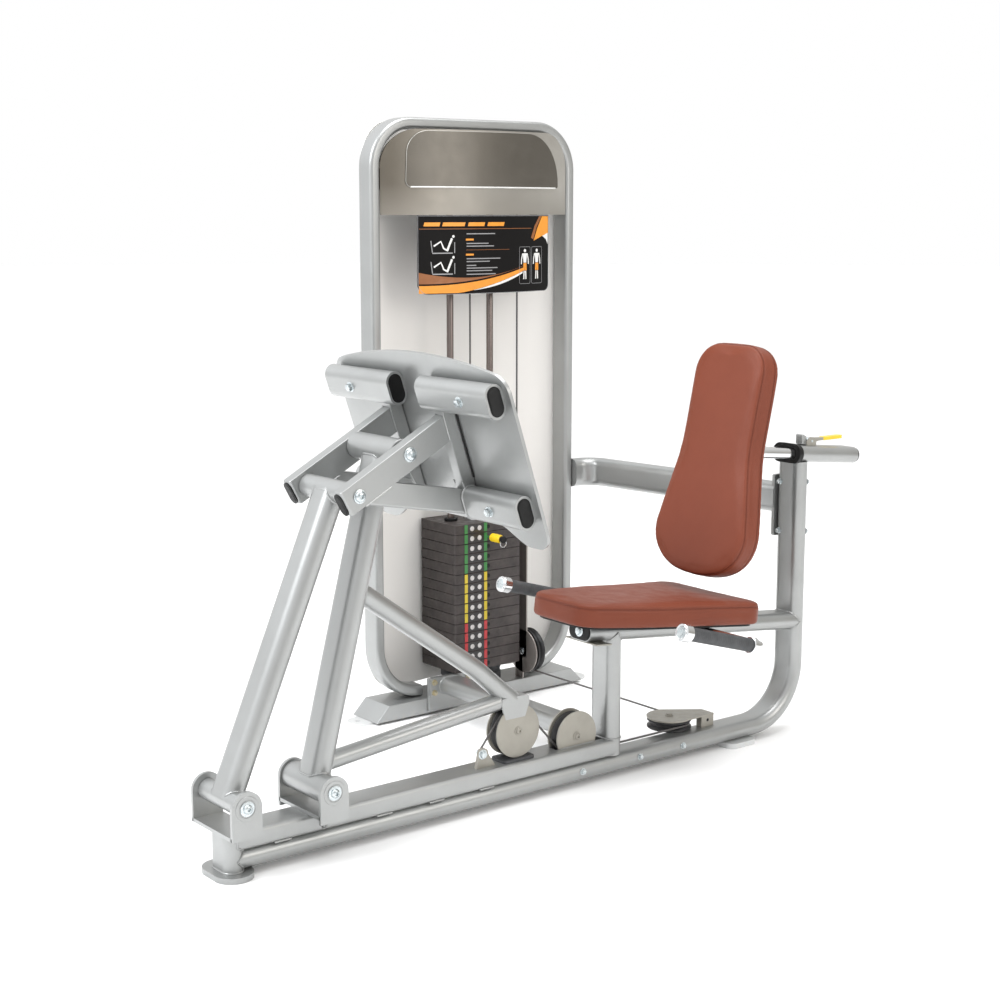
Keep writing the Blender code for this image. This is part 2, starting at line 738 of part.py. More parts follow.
def side_window():
    corners = [(0.4870, 0.8630), (0.3560, 0.7945), (0.5140, 0.7670)]
    return filleted(corners, (0.006, 0.004, 0.006), steps=3)


def carriage_sides():
    for side, name in ((-1, "carriage_side_right"), (1, "carriage_side_left")):
        middle = side * (SIDE_IN + SIDE_OUT) / 2
        place = move(y=middle) @ ALONG_XZ
        rear = arc((REAR_HEAD.x, REAR_HEAD.z), PIVOT_PIN + 0.0005, 0, 337.5, 15)
        front = arc((FRONT_HEAD.x, FRONT_HEAD.z), OPEN_PIN + 0.0005, 0, 337.5, 15)
        holes = [rear, front, side_window()]
        solid = prism(side_outline(), SIDE_OUT - SIDE_IN, place, holes)
        obj = node(name, solid, PAINT, "carriage")
        cut(obj, cross_tube_solid(CROSS_UP, -0.32, 0.32, GAP))


def carriage_tubes():
    for up, inner, row in ((CROSS_UP, 0.050, "upper"), (CROSS_DOWN, SIDE_OUT + GAP, "lower")):
        for side, hand in ((-1, "right"), (1, "left")):
            solid = cross_tube_solid(up, side * inner, side * CROSS_END)
            node("plate_tube_" + row + "_" + hand, solid, PAINT, "carriage")


def foot_plate():
    crown = 0.091
    top = []
    for step in range(13):
        across = 0.250 * (1 - step / 6)
        top.append((across, crown - 0.378 * across**2))
    shoulder = crown - 0.378 * PLATE_HALF**2
    low = -0.331
    corners = [(PLATE_HALF, shoulder), *top, (-PLATE_HALF, shoulder), (-PLATE_HALF, low)]
    corners += [(-0.235, low), (-0.170, -0.292), (0.170, -0.292), (0.235, low), (PLATE_HALF, low)]
    radii = [0.045, *[0] * len(top), 0.045, 0.036, 0.060, 0.055, 0.055, 0.060, 0.036]
    outline = filleted(corners, radii, steps=5)
    solid = prism(outline, PLATE_THICK, plate_place(PLATE_THICK / 2))
    soften(node("foot_plate", solid, PAINT, "carriage"), 0.002, 1)


# ---------------------------------------------------------------- weight tower
def loop_path():
    left = TOWER_X - LOOP_HALF
    right = TOWER_X + LOOP_HALF
    top_bend = 0.115
    low_bend = 0.135
    points = arc((left + low_bend, LOOP_LOW + low_bend), low_bend, 270, 180, 6)
    points += arc((left + top_bend, LOOP_TOP - top_bend), top_bend, 180, 90, 6)
    points += arc((right - top_bend, LOOP_TOP - top_bend), top_bend, 90, 0, 6)
    points += arc((right - low_bend, LOOP_LOW + low_bend), low_bend, 0, -90, 6)
    return points


def loop_solid(grow=0.0):
    section = rounded(LOOP_THIN + 2 * grow, LOOP_DEEP + 2 * grow, 0.010 + grow, 2)
    return sweep(loop_path(), section, move(y=TOWER_Y) @ ALONG_XZ)


def tower_loop():
    node("tower_loop", loop_solid(), PAINT)


def tower_base():
    outline = [(0.825, 0.0), (1.541, 0.0), (1.500, BASE_TOP), (0.866, BASE_TOP)]
    obj = node("tower_base", prism(outline, 0.115, move(y=0.7275) @ ALONG_XZ), PAINT)
    for side in (-1, 1):
        at = move(TOWER_X + side * 0.360, 0.7275, 0.003)
        weld(obj, prism(rounded(0.090, 0.070, 0.030, 4), 0.006, at))
    weld(obj, box((0.990, 0.6630, 0.012), (1.130, 0.6720, 0.103)))
    weld(obj, box((1.010, 0.6700, 0.040), (1.110, 0.6850, 0.100)))


def header():
    radius = 0.098
    low = 1.3350
    high = LOOP_TOP - LOOP_THIN / 2 - 0.0006
    half = LOOP_HALF - LOOP_THIN / 2 - 0.0006
    corners = [(-half, low), (half, low), (half, high), (-half, high)]
    face = filleted(corners, (0.004, 0.004, radius, radius), steps=6)
    plan = bow(half, BOW_RADIUS, BOW_RADIUS - 0.004)
    obj = node("header_shroud", prism(plan, 0.4, move(z=1.45)), DARK_PAINT)
    intersect(obj, prism(face, 0.2, move(TOWER_X, 0.67, 0.0) @ ALONG_XZ))
    corners = [(-0.246, 1.406), (0.264, 1.406), (0.262, 1.5475), (-0.240, 1.5475)]
    face = filleted(corners, (0.016, 0.006, 0.130, 0.056), steps=6)
    plan = bow(0.264, BOW_RADIUS + 0.0043, BOW_RADIUS + GAP)
    obj = node("name_plate", prism(plan, 0.4, move(z=1.45)), NAME_PAINT)
    intersect(obj, prism(face, 0.2, move(TOWER_X, 0.67, 0.0) @ ALONG_XZ))


def intersect(obj, mesh):
    return boolean(obj, mesh, "INTERSECT")


def placard():
    plan = bow(0.2200, BOW_RADIUS, BOW_RADIUS - 0.003, 1.188)
    obj = node("placard", prism(plan, 0.2042, move(z=1.2324)), SIGN)
    corners = [(-0.215, 1.130), (0.225, 1.130), (0.225, 1.340), (-0.215, 1.340)]
    face = filleted(corners, (0.030, 0.018, 0.001, 0.001), steps=4)
    intersect(obj, prism(face, 0.2, move(TOWER_X, 0.67, 0.0) @ ALONG_XZ))
    for x in (1.015, 1.351):
        weld(obj, box((x - 0.012, 0.6555, 1.300), (x + 0.012, 0.6700, 1.3330)))
        weld(obj, box((x - 0.012, 0.6650, 1.300), (x + 0.012, 0.6700, 1.3750)))


def rear_shroud():
    sagitta = 0.0744
    half = LOOP_HALF + LOOP_THIN / 2 - 0.006
    radius = (half**2 + sagitta**2) / (2 * sagitta)
    centre = (TOWER_X, 0.830 - radius)
    reach = math.degrees(math.asin(half / radius))
    outer = arc(centre, radius, 90 - reach, 90 + reach, 16)
    inner = arc(centre, radius - 0.004, 90 + reach, 90 - reach, 16)
    obj = node("rear_shroud", prism(outer + inner, 1.7, move(z=0.8)), SHROUD)
    low = 0.0530
    high = LOOP_TOP + LOOP_THIN / 2 - 0.006
    corners = [(-half, low), (half, low), (half, high), (-half, high)]
    face = filleted(corners, (0.144, 0.144, 0.124, 0.124), steps=6)
    intersect(obj, prism(face, 0.4, move(TOWER_X, 0.9556, 0.0) @ ALONG_XZ))


def guide_rods():
    yoke = box((1.090, 0.7155, 1.372), (1.276, 0.7425, 1.3985))
    obj = node("guide_rods", yoke, CHROME)
    for side in (-1, 1):
        at = (TOWER_X + side * ROD_OFFSET, STACK_Y, 0.7145)
        weld(obj, cylinder(at, ROD_RADIUS, 1.3316, sides=16))
    cut(obj, cylinder((TOWER_X, STACK_Y, 1.385), 0.010, 0.1, sides=16))


def rod_bumpers():
    for side, name in ((-1, "bumper_left"), (1, "bumper_right")):
        low = BASE_TOP + GAP
        high = STACK_LOW - GAP
        inner = ROD_RADIUS + 0.0006
        outline = [(inner, high), (0.027, high), (0.030, high - 0.006)]
        outline += [(0.030, low), (inner, low)]
        place = move(TOWER_X + side * ROD_OFFSET, STACK_Y, 0.0)
        turned(name, outline, True, place, RUBBER, "frame", 16)


def grooved_block(low, count):
    """A pile of plates as one block, with a shallow groove between each two."""
    work = bmesh.new()
    rings = []
    for index in range(count):
        floor = low + index * STACK_PITCH
        for height, inset in ((0.0, 0.0015), (0.0012, 0.0), (STACK_PITCH - 0.0012, 0.0)):
            rings.append((floor + height, inset))
    rings.append((low + count * STACK_PITCH, 0.0015))
    loops = []
    for height, inset in rings:
        half_x = STACK_HALF_X - inset
        half_y = STACK_HALF_Y - inset
        spots = ((-half_x, -half_y), (half_x, -half_y), (half_x, half_y), (-half_x, half_y))
        loops.append([work.verts.new((TOWER_X + x, STACK_Y + y, height)) for x, y in spots])
    for under, over in zip(loops, loops[1:]):
        for index in range(4):
            after = (index + 1) % 4
            work.faces.new((under[index], under[after], over[after], over[index]))
    work.faces.new(loops[0][::-1])
    work.faces.new(loops[-1])
    mesh = bpy.data.meshes.new("block")
    work.to_mesh(mesh)
    work.free()
    return tidy(mesh)


def drill_rod_holes(obj):
    for side in (-1, 1):
        at = (TOWER_X + side * ROD_OFFSET, STACK_Y, 0.3)
        cut(obj, cylinder(at, ROD_RADIUS + 0.0010, 0.6, sides=16))


def weight_stack():
    obj = node("stack_plates", grooved_block(STACK_LOW, 13), PLATES)
    drill_rod_holes(obj)
    cut(obj, cylinder((TOWER_X, STACK_Y, 0.3), 0.0130, 0.6, sides=16))
    top = STACK_LOW + 15 * STACK_PITCH
    lifted = grooved_block(STACK_LOW + 13 * STACK_PITCH + GAP, 2)
    obj = node("lifted_plates", lifted, PLATES, "stack")
    drill_rod_holes(obj)
    middle = (TOWER_X, STACK_Y, (0.120 + top + 0.035) / 2)
    weld(obj, cylinder(middle, 0.0110, top - 0.085, sides=16))
    cut(obj, cylinder((TOWER_X, 0.680, PIN_Z), 0.0060, 0.075, AXIS_Y, 16))


def selector_pin():
    outline = [(0.0, 0.070), (0.0095, 0.070), (0.0120, 0.066), (0.0120, 0.022)]
    outline += [(0.0100, 0.018), (0.0050, 0.018), (0.0050, -0.062), (0.0, -0.063)]
    place = Matrix.Translation((TOWER_X, 0.650, PIN_Z)) @ AXIS_Y
    turned("selector_pin", outline, False, place, YELLOW, "selector", 20)


# ---------------------------------------------------------------- pulleys and their brackets
def pulley(name, wheel, turn, body):
    centre, groove = wheel
    half = PULLEY_HALF
    rim = groove + 0.006
    floor = groove - CABLE - 0.0012
    outline = [(AXLE + 0.0007, half), (rim, half), (rim, 0.0070), (floor, 0.0026)]
    outline += [(floor, -0.0026), (rim, -0.0070), (rim, -half), (AXLE + 0.0007, -half)]
    turned(name, outline, True, Matrix.Translation(centre) @ turn, PULLEY, body, 20)


def pulleys():
    pulley("lever_pulley", LEVER_PULLEY, AXIS_Y, "lever_wheel")
    pulley("rail_pulley", RAIL_PULLEY, AXIS_Y, "rail_wheel")
    pulley("floor_pulley", FLOOR_PULLEY, Matrix.Identity(4), "floor_wheel")
    pulley("base_pulley", BASE_PULLEY, AXIS_X, "base_wheel")
    pulley("top_pulley_a", TOP_PULLEY_A, AXIS_Y, "top_wheel_a")
    pulley("top_pulley_b", TOP_PULLEY_B, AXIS_Y, "top_wheel_b")


def rail_pulley_bracket():
    """Two D plates standing on the beam beside its slot, with the axle between them."""
    centre = RAIL_PULLEY[0]
    low = BEAM_TOP + GAP
    radius = 0.060
    start = math.degrees(math.asin((low - centre.z) / radius))
    outline = arc((centre.x, centre.z), radius, start, 180 - start, 24)
    obj = None
    for side in (-1, 1):
        solid = prism(outline, 0.004, move(y=side * 0.0166) @ ALONG_XZ)
        if obj is None:
            obj = node("rail_pulley_bracket", solid, PAINT)
        else:
            weld(obj, solid)
    weld(obj, cylinder(centre, AXLE, 0.046, AXIS_Y, 10))


def floor_pulley_bracket():
    centre = FLOOR_PULLEY[0]
    high = CABLE_Z + PULLEY_HALF + 0.0015
    top = arc((centre.x, centre.y), 0.057, 70, 290, 16)
    outline = [*top, (1.400, centre.y - 0.0536), (1.400, centre.y - 0.0100)]
    obj = node("floor_pulley_bracket", prism(outline, 0.004, move(z=high + 0.002)), PAINT)
    weld(obj, box((1.357, -0.0036, RAIL_TOP + GAP), (1.400, 0.0160, high + 0.003)))
    weld(obj, cylinder((centre.x, centre.y, 0.0755), AXLE, 0.0300, sides=10))


def base_pulley_bracket():
    """Guard disc on the tower-side pulley, running up into a strip that hides the cable."""
    centre = BASE_PULLEY[0]
    middle = 1.3290 - 0.0045
    obj = node(
        "base_pulley_bracket",
        cylinder((middle, centre.y, centre.z), 0.0625, 0.004, AXIS_X, 32),
        DARK_PAINT,
    )
    weld(obj, box((middle - 0.002, 0.6560, 0.110), (middle + 0.002, 0.7060, 0.600)))
    weld(obj, box((middle - 0.002, 0.6720, BASE_TOP + GAP), (middle + 0.002, 0.7060, 0.130)))
    weld(obj, cylinder((1.3400, centre.y, centre.z), AXLE, 0.0360, AXIS_X, 10))


def top_pulley_beam():
    half = LOOP_HALF - LOOP_THIN / 2 - 0.0006
    left = TOWER_X - half
    right = TOWER_X + half
    obj = node("top_pulley_beam", box((left, 0.7060, 1.399), (left + 0.03, 0.7520, 1.452)), PAINT)
    weld(obj, box((right - 0.03, 0.7060, 1.399), (right, 0.7520, 1.452)))
    for low, high in ((0.7060, 0.7120), (0.7460, 0.7520)):
        weld(obj, box((left, low, 1.402), (right, high, 1.452)))
    weld(obj, box((1.255, 0.7060, 1.3990), (1.273, 0.7520, 1.4080)))
    weld(obj, box((1.093, 0.7060, 1.3990), (1.130, 0.7520, 1.4080)))
    for wheel in (TOP_PULLEY_A, TOP_PULLEY_B):
        weld(obj, cylinder(wheel[0], AXLE, 0.050, AXIS_Y, 10))


def anchor_lug():
    low = BEAM_TOP + GAP
    outline = [(0.632, low), (0.690, low), (0.668, 0.128), *arc((0.655, 0.130), 0.013, 0, 180, 6)]
    solid = prism(outline, 0.010, move(y=-0.0090) @ ALONG_XZ)
    obj = node("anchor_lug", solid, PAINT)
    weld(obj, cylinder((0.651, -0.0125, 0.130), 0.0085, 0.018, AXIS_Y, 12))


def lever_bumper():
    low = BEAM_TOP + GAP
    pad = prism(rounded(0.090, 0.056, 0.010, 3), 0.0062, move(0.750, 0.0, low + 0.0031))
    node("lever_bumper", pad, RUBBER)


# ---------------------------------------------------------------- cable
def tangent(point, wheel, side):
    """Where a line from the point touches the wheel, in the XZ plane; side picks which."""
    centre = Vector((wheel[0].x, wheel[0].z))
    away = Vector(point) - centre
    base = math.atan2(away.y, away.x)
    spread = math.acos(wheel[1] / away.length)
    return base + side * spread


def crossed_tangent(first, second):
    """The angles at which a cable leaves the first wheel and meets the second, crossing over."""
    way = Vector((second[0].x - first[0].x, second[0].z - first[0].z))
    base = math.atan2(way.y, way.x)
    spread = math.acos((first[1] + second[1]) / way.length)
    return base + spread, base + spread + math.pi


def wheel_points(wheel, start, end, steps):
    """Points on a wheel's groove line from one angle to another, in degrees, as (x, z)."""
    return arc((wheel[0].x, wheel[0].z), wheel[1], start, end, steps)


def cord(name, points, body="frame"):
    curve = line_curve(points, False, "3D")
    curve.bevel_depth = CABLE
    curve.bevel_resolution = 0
    curve.use_fill_caps = True
    return node(name, curve_mesh(curve, Matrix.Identity(4)), WIRE, body)


def cables():
    leave, meet = crossed_tangent(LEVER_PULLEY, RAIL_PULLEY)
    touch = tangent((CABLE_ANCHOR.x, CABLE_ANCHOR.z), LEVER_PULLEY, -1)
    start = math.degrees(touch)
    if start < 0:
        start += 360
    over = wheel_points(LEVER_PULLEY, start, math.degrees(leave), 16)
    meet_at = math.degrees(meet)
    arrive = wheel_points(RAIL_PULLEY, meet_at, meet_at + 1, 1)
    press = [(CABLE_ANCHOR.x, 0.0, CABLE_ANCHOR.z)]
    press += [(x, 0.0, z) for x, z in over]
    press.append((arrive[0][0], 0.0, arrive[0][1]))
    cord("cable_press", press)
    under = wheel_points(RAIL_PULLEY, meet_at + 1.2, 270, 10)
    run = [(x, 0.0, z) for x, z in under]
    floor = FLOOR_PULLEY[0]
    turn = arc((floor.x, floor.y), FLOOR_PULLEY[1], -90, 0, 10)
    run += [(x, y, CABLE_Z) for x, y in turn]
    base = BASE_PULLEY[0]
    rise = arc((base.y, base.z), BASE_PULLEY[1], 270, 360, 10)
    run += [(base.x, y, z) for y, z in rise]
    high = wheel_points(TOP_PULLEY_A, 0, 90, 8)
    run += [(x, STACK_Y, z) for x, z in high]
    down = wheel_points(TOP_PULLEY_B, 90, 180, 8)
    run += [(x, STACK_Y, z) for x, z in down]
    cord("cable_run", run)
    top = TOP_PULLEY_B[0].z - 0.0005
    low = STACK_LOW + 15 * STACK_PITCH + 0.0358
    cord("cable_stack", [(TOWER_X, STACK_Y, top), (TOWER_X, STACK_Y, low)])


def build():
    main_rail()
    front_post()
    upper_beam()
    seat_post()
    seat_beam()
    cross_tube()
    side_arch()
    clevises()
    pivot_pins()
    seat()
    handles()
    backrest()
    adjuster()
    front_arm()
    rear_arm()
    lever_bracket()
    carriage_sides()
    carriage_tubes()
    foot_plate()
    tower_loop()
    tower_base()
    header()
    placard()
    rear_shroud()
    guide_rods()
    rod_bumpers()
    weight_stack()
    selector_pin()
    pulleys()
    rail_pulley_bracket()
    floor_pulley_bracket()
    base_pulley_bracket()
    top_pulley_beam()
    anchor_lug()
    lever_bumper()
    cables()


build()
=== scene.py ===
"""Looks of the seated leg press machine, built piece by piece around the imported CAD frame.

Shapes are written in the design frame (x = 0 on the front post, y = 0 on the base rail) and
moved by MID into the row frame, so every piece goes where its CAD node is.
"""

import json
import math

import bmesh
import bpy
import numpy as np
from mathutils import Matrix, Vector, noise
from mathutils.bvhtree import BVHTree
from mathutils.kdtree import KDTree

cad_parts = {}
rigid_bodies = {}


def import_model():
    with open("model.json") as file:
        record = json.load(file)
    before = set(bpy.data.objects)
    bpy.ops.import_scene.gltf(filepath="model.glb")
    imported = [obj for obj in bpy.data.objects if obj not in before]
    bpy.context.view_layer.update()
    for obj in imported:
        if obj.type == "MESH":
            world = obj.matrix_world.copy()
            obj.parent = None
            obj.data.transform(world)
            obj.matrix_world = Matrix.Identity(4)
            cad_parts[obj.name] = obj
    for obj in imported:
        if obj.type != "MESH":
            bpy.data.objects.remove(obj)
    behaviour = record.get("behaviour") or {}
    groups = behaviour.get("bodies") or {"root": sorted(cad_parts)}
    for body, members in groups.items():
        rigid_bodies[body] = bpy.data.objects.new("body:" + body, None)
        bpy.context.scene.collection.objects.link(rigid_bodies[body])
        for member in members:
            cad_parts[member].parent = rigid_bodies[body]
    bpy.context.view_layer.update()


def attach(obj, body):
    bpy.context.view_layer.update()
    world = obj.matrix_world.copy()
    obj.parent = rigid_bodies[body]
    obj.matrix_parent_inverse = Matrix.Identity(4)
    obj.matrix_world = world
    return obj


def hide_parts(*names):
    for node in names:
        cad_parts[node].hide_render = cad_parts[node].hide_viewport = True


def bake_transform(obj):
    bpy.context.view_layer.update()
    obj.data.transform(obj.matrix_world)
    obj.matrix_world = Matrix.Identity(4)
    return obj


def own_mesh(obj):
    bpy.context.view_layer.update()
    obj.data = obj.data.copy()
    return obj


for old in list(bpy.data.objects):
    bpy.data.objects.remove(old)

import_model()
MID = Vector((0.91984, 0.2435, 0.0))
TO_ROW = Matrix.Translation(-MID)

# ---------------------------------------------------------------- dimensions (metres)
RAIL_Z = 0.035
RAIL_TOP = 0.0575
BEAM_TOP = 0.098
UPRIGHT_X = 1.675
SEAT_POST_X = 1.037
SEAT_SLOPE = math.radians(6.06)
SEAT_BEAM_AT = Vector((1.052, 0.0, 0.3586))
FRONT_PIVOT = Vector((0.0, 0.0, 0.163))
REAR_PIVOT = Vector((0.208, 0.0, 0.152))
FRONT_HEAD = Vector((0.262, 0.0, 0.775))
REAR_HEAD = Vector((0.388, 0.0, 0.850))
PLATE_LEAN = math.radians(18.4)
PLATE_AT = Vector((0.505, 0.0, 0.9675))
PLATE_THICK = 0.0103
SIDE_IN = 0.0828
SIDE_OUT = 0.1125
CROSS_UP = 0.0126
CROSS_DOWN = -0.2349
TOWER_X = 1.183
TOWER_Y = 0.725
LOOP_HALF = 0.3245
LOOP_TOP = 1.568
LOOP_LOW = 0.0637
BASE_TOP = 0.048
BOW_RADIUS = 0.852
BOW_FRONT = 0.641
STACK_Y = 0.729
STACK_LOW = 0.106
STACK_PITCH = 0.0272
STACK_HALF_X = 0.1125
STACK_HALF_Y = 0.079
ROD_OFFSET = 0.067
ROD_RADIUS = 0.0092
CABLE = 0.0025
CABLE_Z = 0.072
LEVER_PULLEY = (Vector((0.750, 0.0, 0.168)), 0.052)
RAIL_PULLEY = (Vector((0.929, 0.0, 0.121)), 0.049)
FLOOR_PULLEY = (Vector((1.295, 0.050, CABLE_Z)), 0.050)
BASE_PULLEY = (Vector((1.345, 0.674, 0.127)), 0.055)
TOP_PULLEY_A = (Vector((1.311, STACK_Y, 1.440)), 0.034)
TOP_PULLEY_B = (Vector((1.217, STACK_Y, 1.440)), 0.034)
CABLE_ANCHOR = Vector((0.651, 0.0, 0.132))
BACK_LEAN = math.radians(13.5)
BACK_AT = Vector((1.374, 0.0, 0.762))
BACK_THICK = 0.068
SLEEVE_FROM = Vector((1.661, 0.0, 0.732))
SLEEVE_TO = Vector((1.880, 0.0, 0.71019))
LEVER_PIVOT = Vector((1.726, 0.0, 0.7590))
GRIP_OUT = 0.323
NAME_FOOT = 1.406
NAME_HEAD = 1.5475
HEADER_FOOT = 1.3350
LIFT = 0.462
LABEL_X = 1.1405
STACK_PLATES = 15
STACK_TOP = STACK_LOW + STACK_PLATES * STACK_PITCH
PIN_Z = STACK_LOW + 13.5 * STACK_PITCH

ALONG_XZ = Matrix(((1, 0, 0, 0), (0, 0, -1, 0), (0, 1, 0, 0), (0, 0, 0, 1)))
ALONG_YZ = Matrix(((0, 0, 1, 0), (1, 0, 0, 0), (0, 1, 0, 0), (0, 0, 0, 1)))
AXIS_Y = Matrix.Rotation(math.radians(90), 4, "X")
AXIS_X = Matrix.Rotation(math.radians(90), 4, "Y")
TO_MINUS_X = Matrix.Rotation(math.radians(-90), 4, "Y")
TO_PLUS_Y = Matrix.Rotation(math.radians(-90), 4, "X")
FLAT = Matrix.Identity(4)


# ---------------------------------------------------------------- materials
class Look:
    """A Principled material with a small kit for adding procedural detail."""

    def __init__(self, name, colour, roughness, metallic=0.0, **values):
        self.material = bpy.data.materials.new(name)
        self.material.use_nodes = True
        self.tree = self.material.node_tree
        self.shader = self.tree.nodes["Principled BSDF"]
        self.colour = colour
        self.roughness = roughness
        self.shader.inputs["Base Color"].default_value = (*colour, 1.0)
        self.shader.inputs["Roughness"].default_value = roughness
        self.shader.inputs["Metallic"].default_value = metallic
        for key, value in values.items():
            self.shader.inputs[key.replace("_", " ")].default_value = value
        self.place = self.add("ShaderNodeTexCoord").outputs["Object"]
        self.material.diffuse_color = (*colour, 1.0)

    def add(self, kind, **settings):
        node = self.tree.nodes.new(kind)
        for key, value in settings.items():
            setattr(node, key, value)
        return node

    def join(self, out, into):
        self.tree.links.new(out, into)

    def noise(self, scale, detail=3.0, rough=0.5, stretch=(1, 1, 1), lift=0.0):
        turn = self.add("ShaderNodeMapping")
        turn.inputs["Scale"].default_value = stretch
        turn.inputs["Location"].default_value = (lift, lift, lift)
        self.join(self.place, turn.inputs["Vector"])
        made = self.add("ShaderNodeTexNoise")
        made.inputs["Scale"].default_value = scale
        made.inputs["Detail"].default_value = detail
        made.inputs["Roughness"].default_value = rough
        self.join(turn.outputs["Vector"], made.inputs["Vector"])
        return made.outputs["Fac"]

    def cells(self, scale, feature="DISTANCE_TO_EDGE"):
        made = self.add("ShaderNodeTexVoronoi", feature=feature)
        made.inputs["Scale"].default_value = scale
        self.join(self.place, made.inputs["Vector"])
        return made.outputs["Distance"]

    def spread(self, source, low, high, to_low=0.0, to_high=1.0):
        made = self.add("ShaderNodeMapRange")
        for key, value in zip(("From Min", "From Max", "To Min", "To Max"), (low, high, to_low, to_high)):
            made.inputs[key].default_value = value
        self.join(source, made.inputs["Value"])
        return made.outputs["Result"]

    def tint(self, source, other, low=0.35, high=0.65):
        """Blends the current colour towards another where the source is high."""
        made = self.add("ShaderNodeMix", data_type="RGBA")
        self.join(self.spread(source, low, high), made.inputs["Factor"])
        into = self.shader.inputs["Base Color"]
        if into.is_linked:
            self.join(into.links[0].from_socket, made.inputs["A"])
        else:
            made.inputs["A"].default_value = (*self.colour, 1.0)
        made.inputs["B"].default_value = (*other, 1.0)
        self.join(made.outputs["Result"], into)
        return self

    def shine(self, source, low, high, from_low=0.3, from_high=0.7):
        self.join(self.spread(source, from_low, from_high, low, high), self.shader.inputs["Roughness"])
        return self

    def bump(self, source, strength, distance):
        made = self.add("ShaderNodeBump")
        made.inputs["Strength"].default_value = strength
        made.inputs["Distance"].default_value = distance
        self.join(source, made.inputs["Height"])
        into = self.shader.inputs["Normal"]
        if into.is_linked:
            self.join(into.links[0].from_socket, made.inputs["Normal"])
        self.join(made.outputs["Normal"], into)
        return self


def paint(name, colour, dark, metallic=0.55):
    """Satin metallic powder coat: a soft mottle, fine flake and a thin clear coat."""
    look = Look(name, colour, 0.34, metallic, Coat_Weight=0.30, Coat_Roughness=0.16)
    look.tint(look.noise(5.0, 4.0, 0.6), dark, 0.30, 0.75)
    flake = look.noise(1600.0, 1.0, 0.5)
    look.tint(flake, tuple(min(1.0, c * 1.16) for c in colour), 0.60, 0.75)
    look.shine(look.noise(14.0, 5.0, 0.6), 0.30, 0.42)
    look.bump(look.noise(420.0, 2.0, 0.5), 0.10, 0.0006)
    return look.material


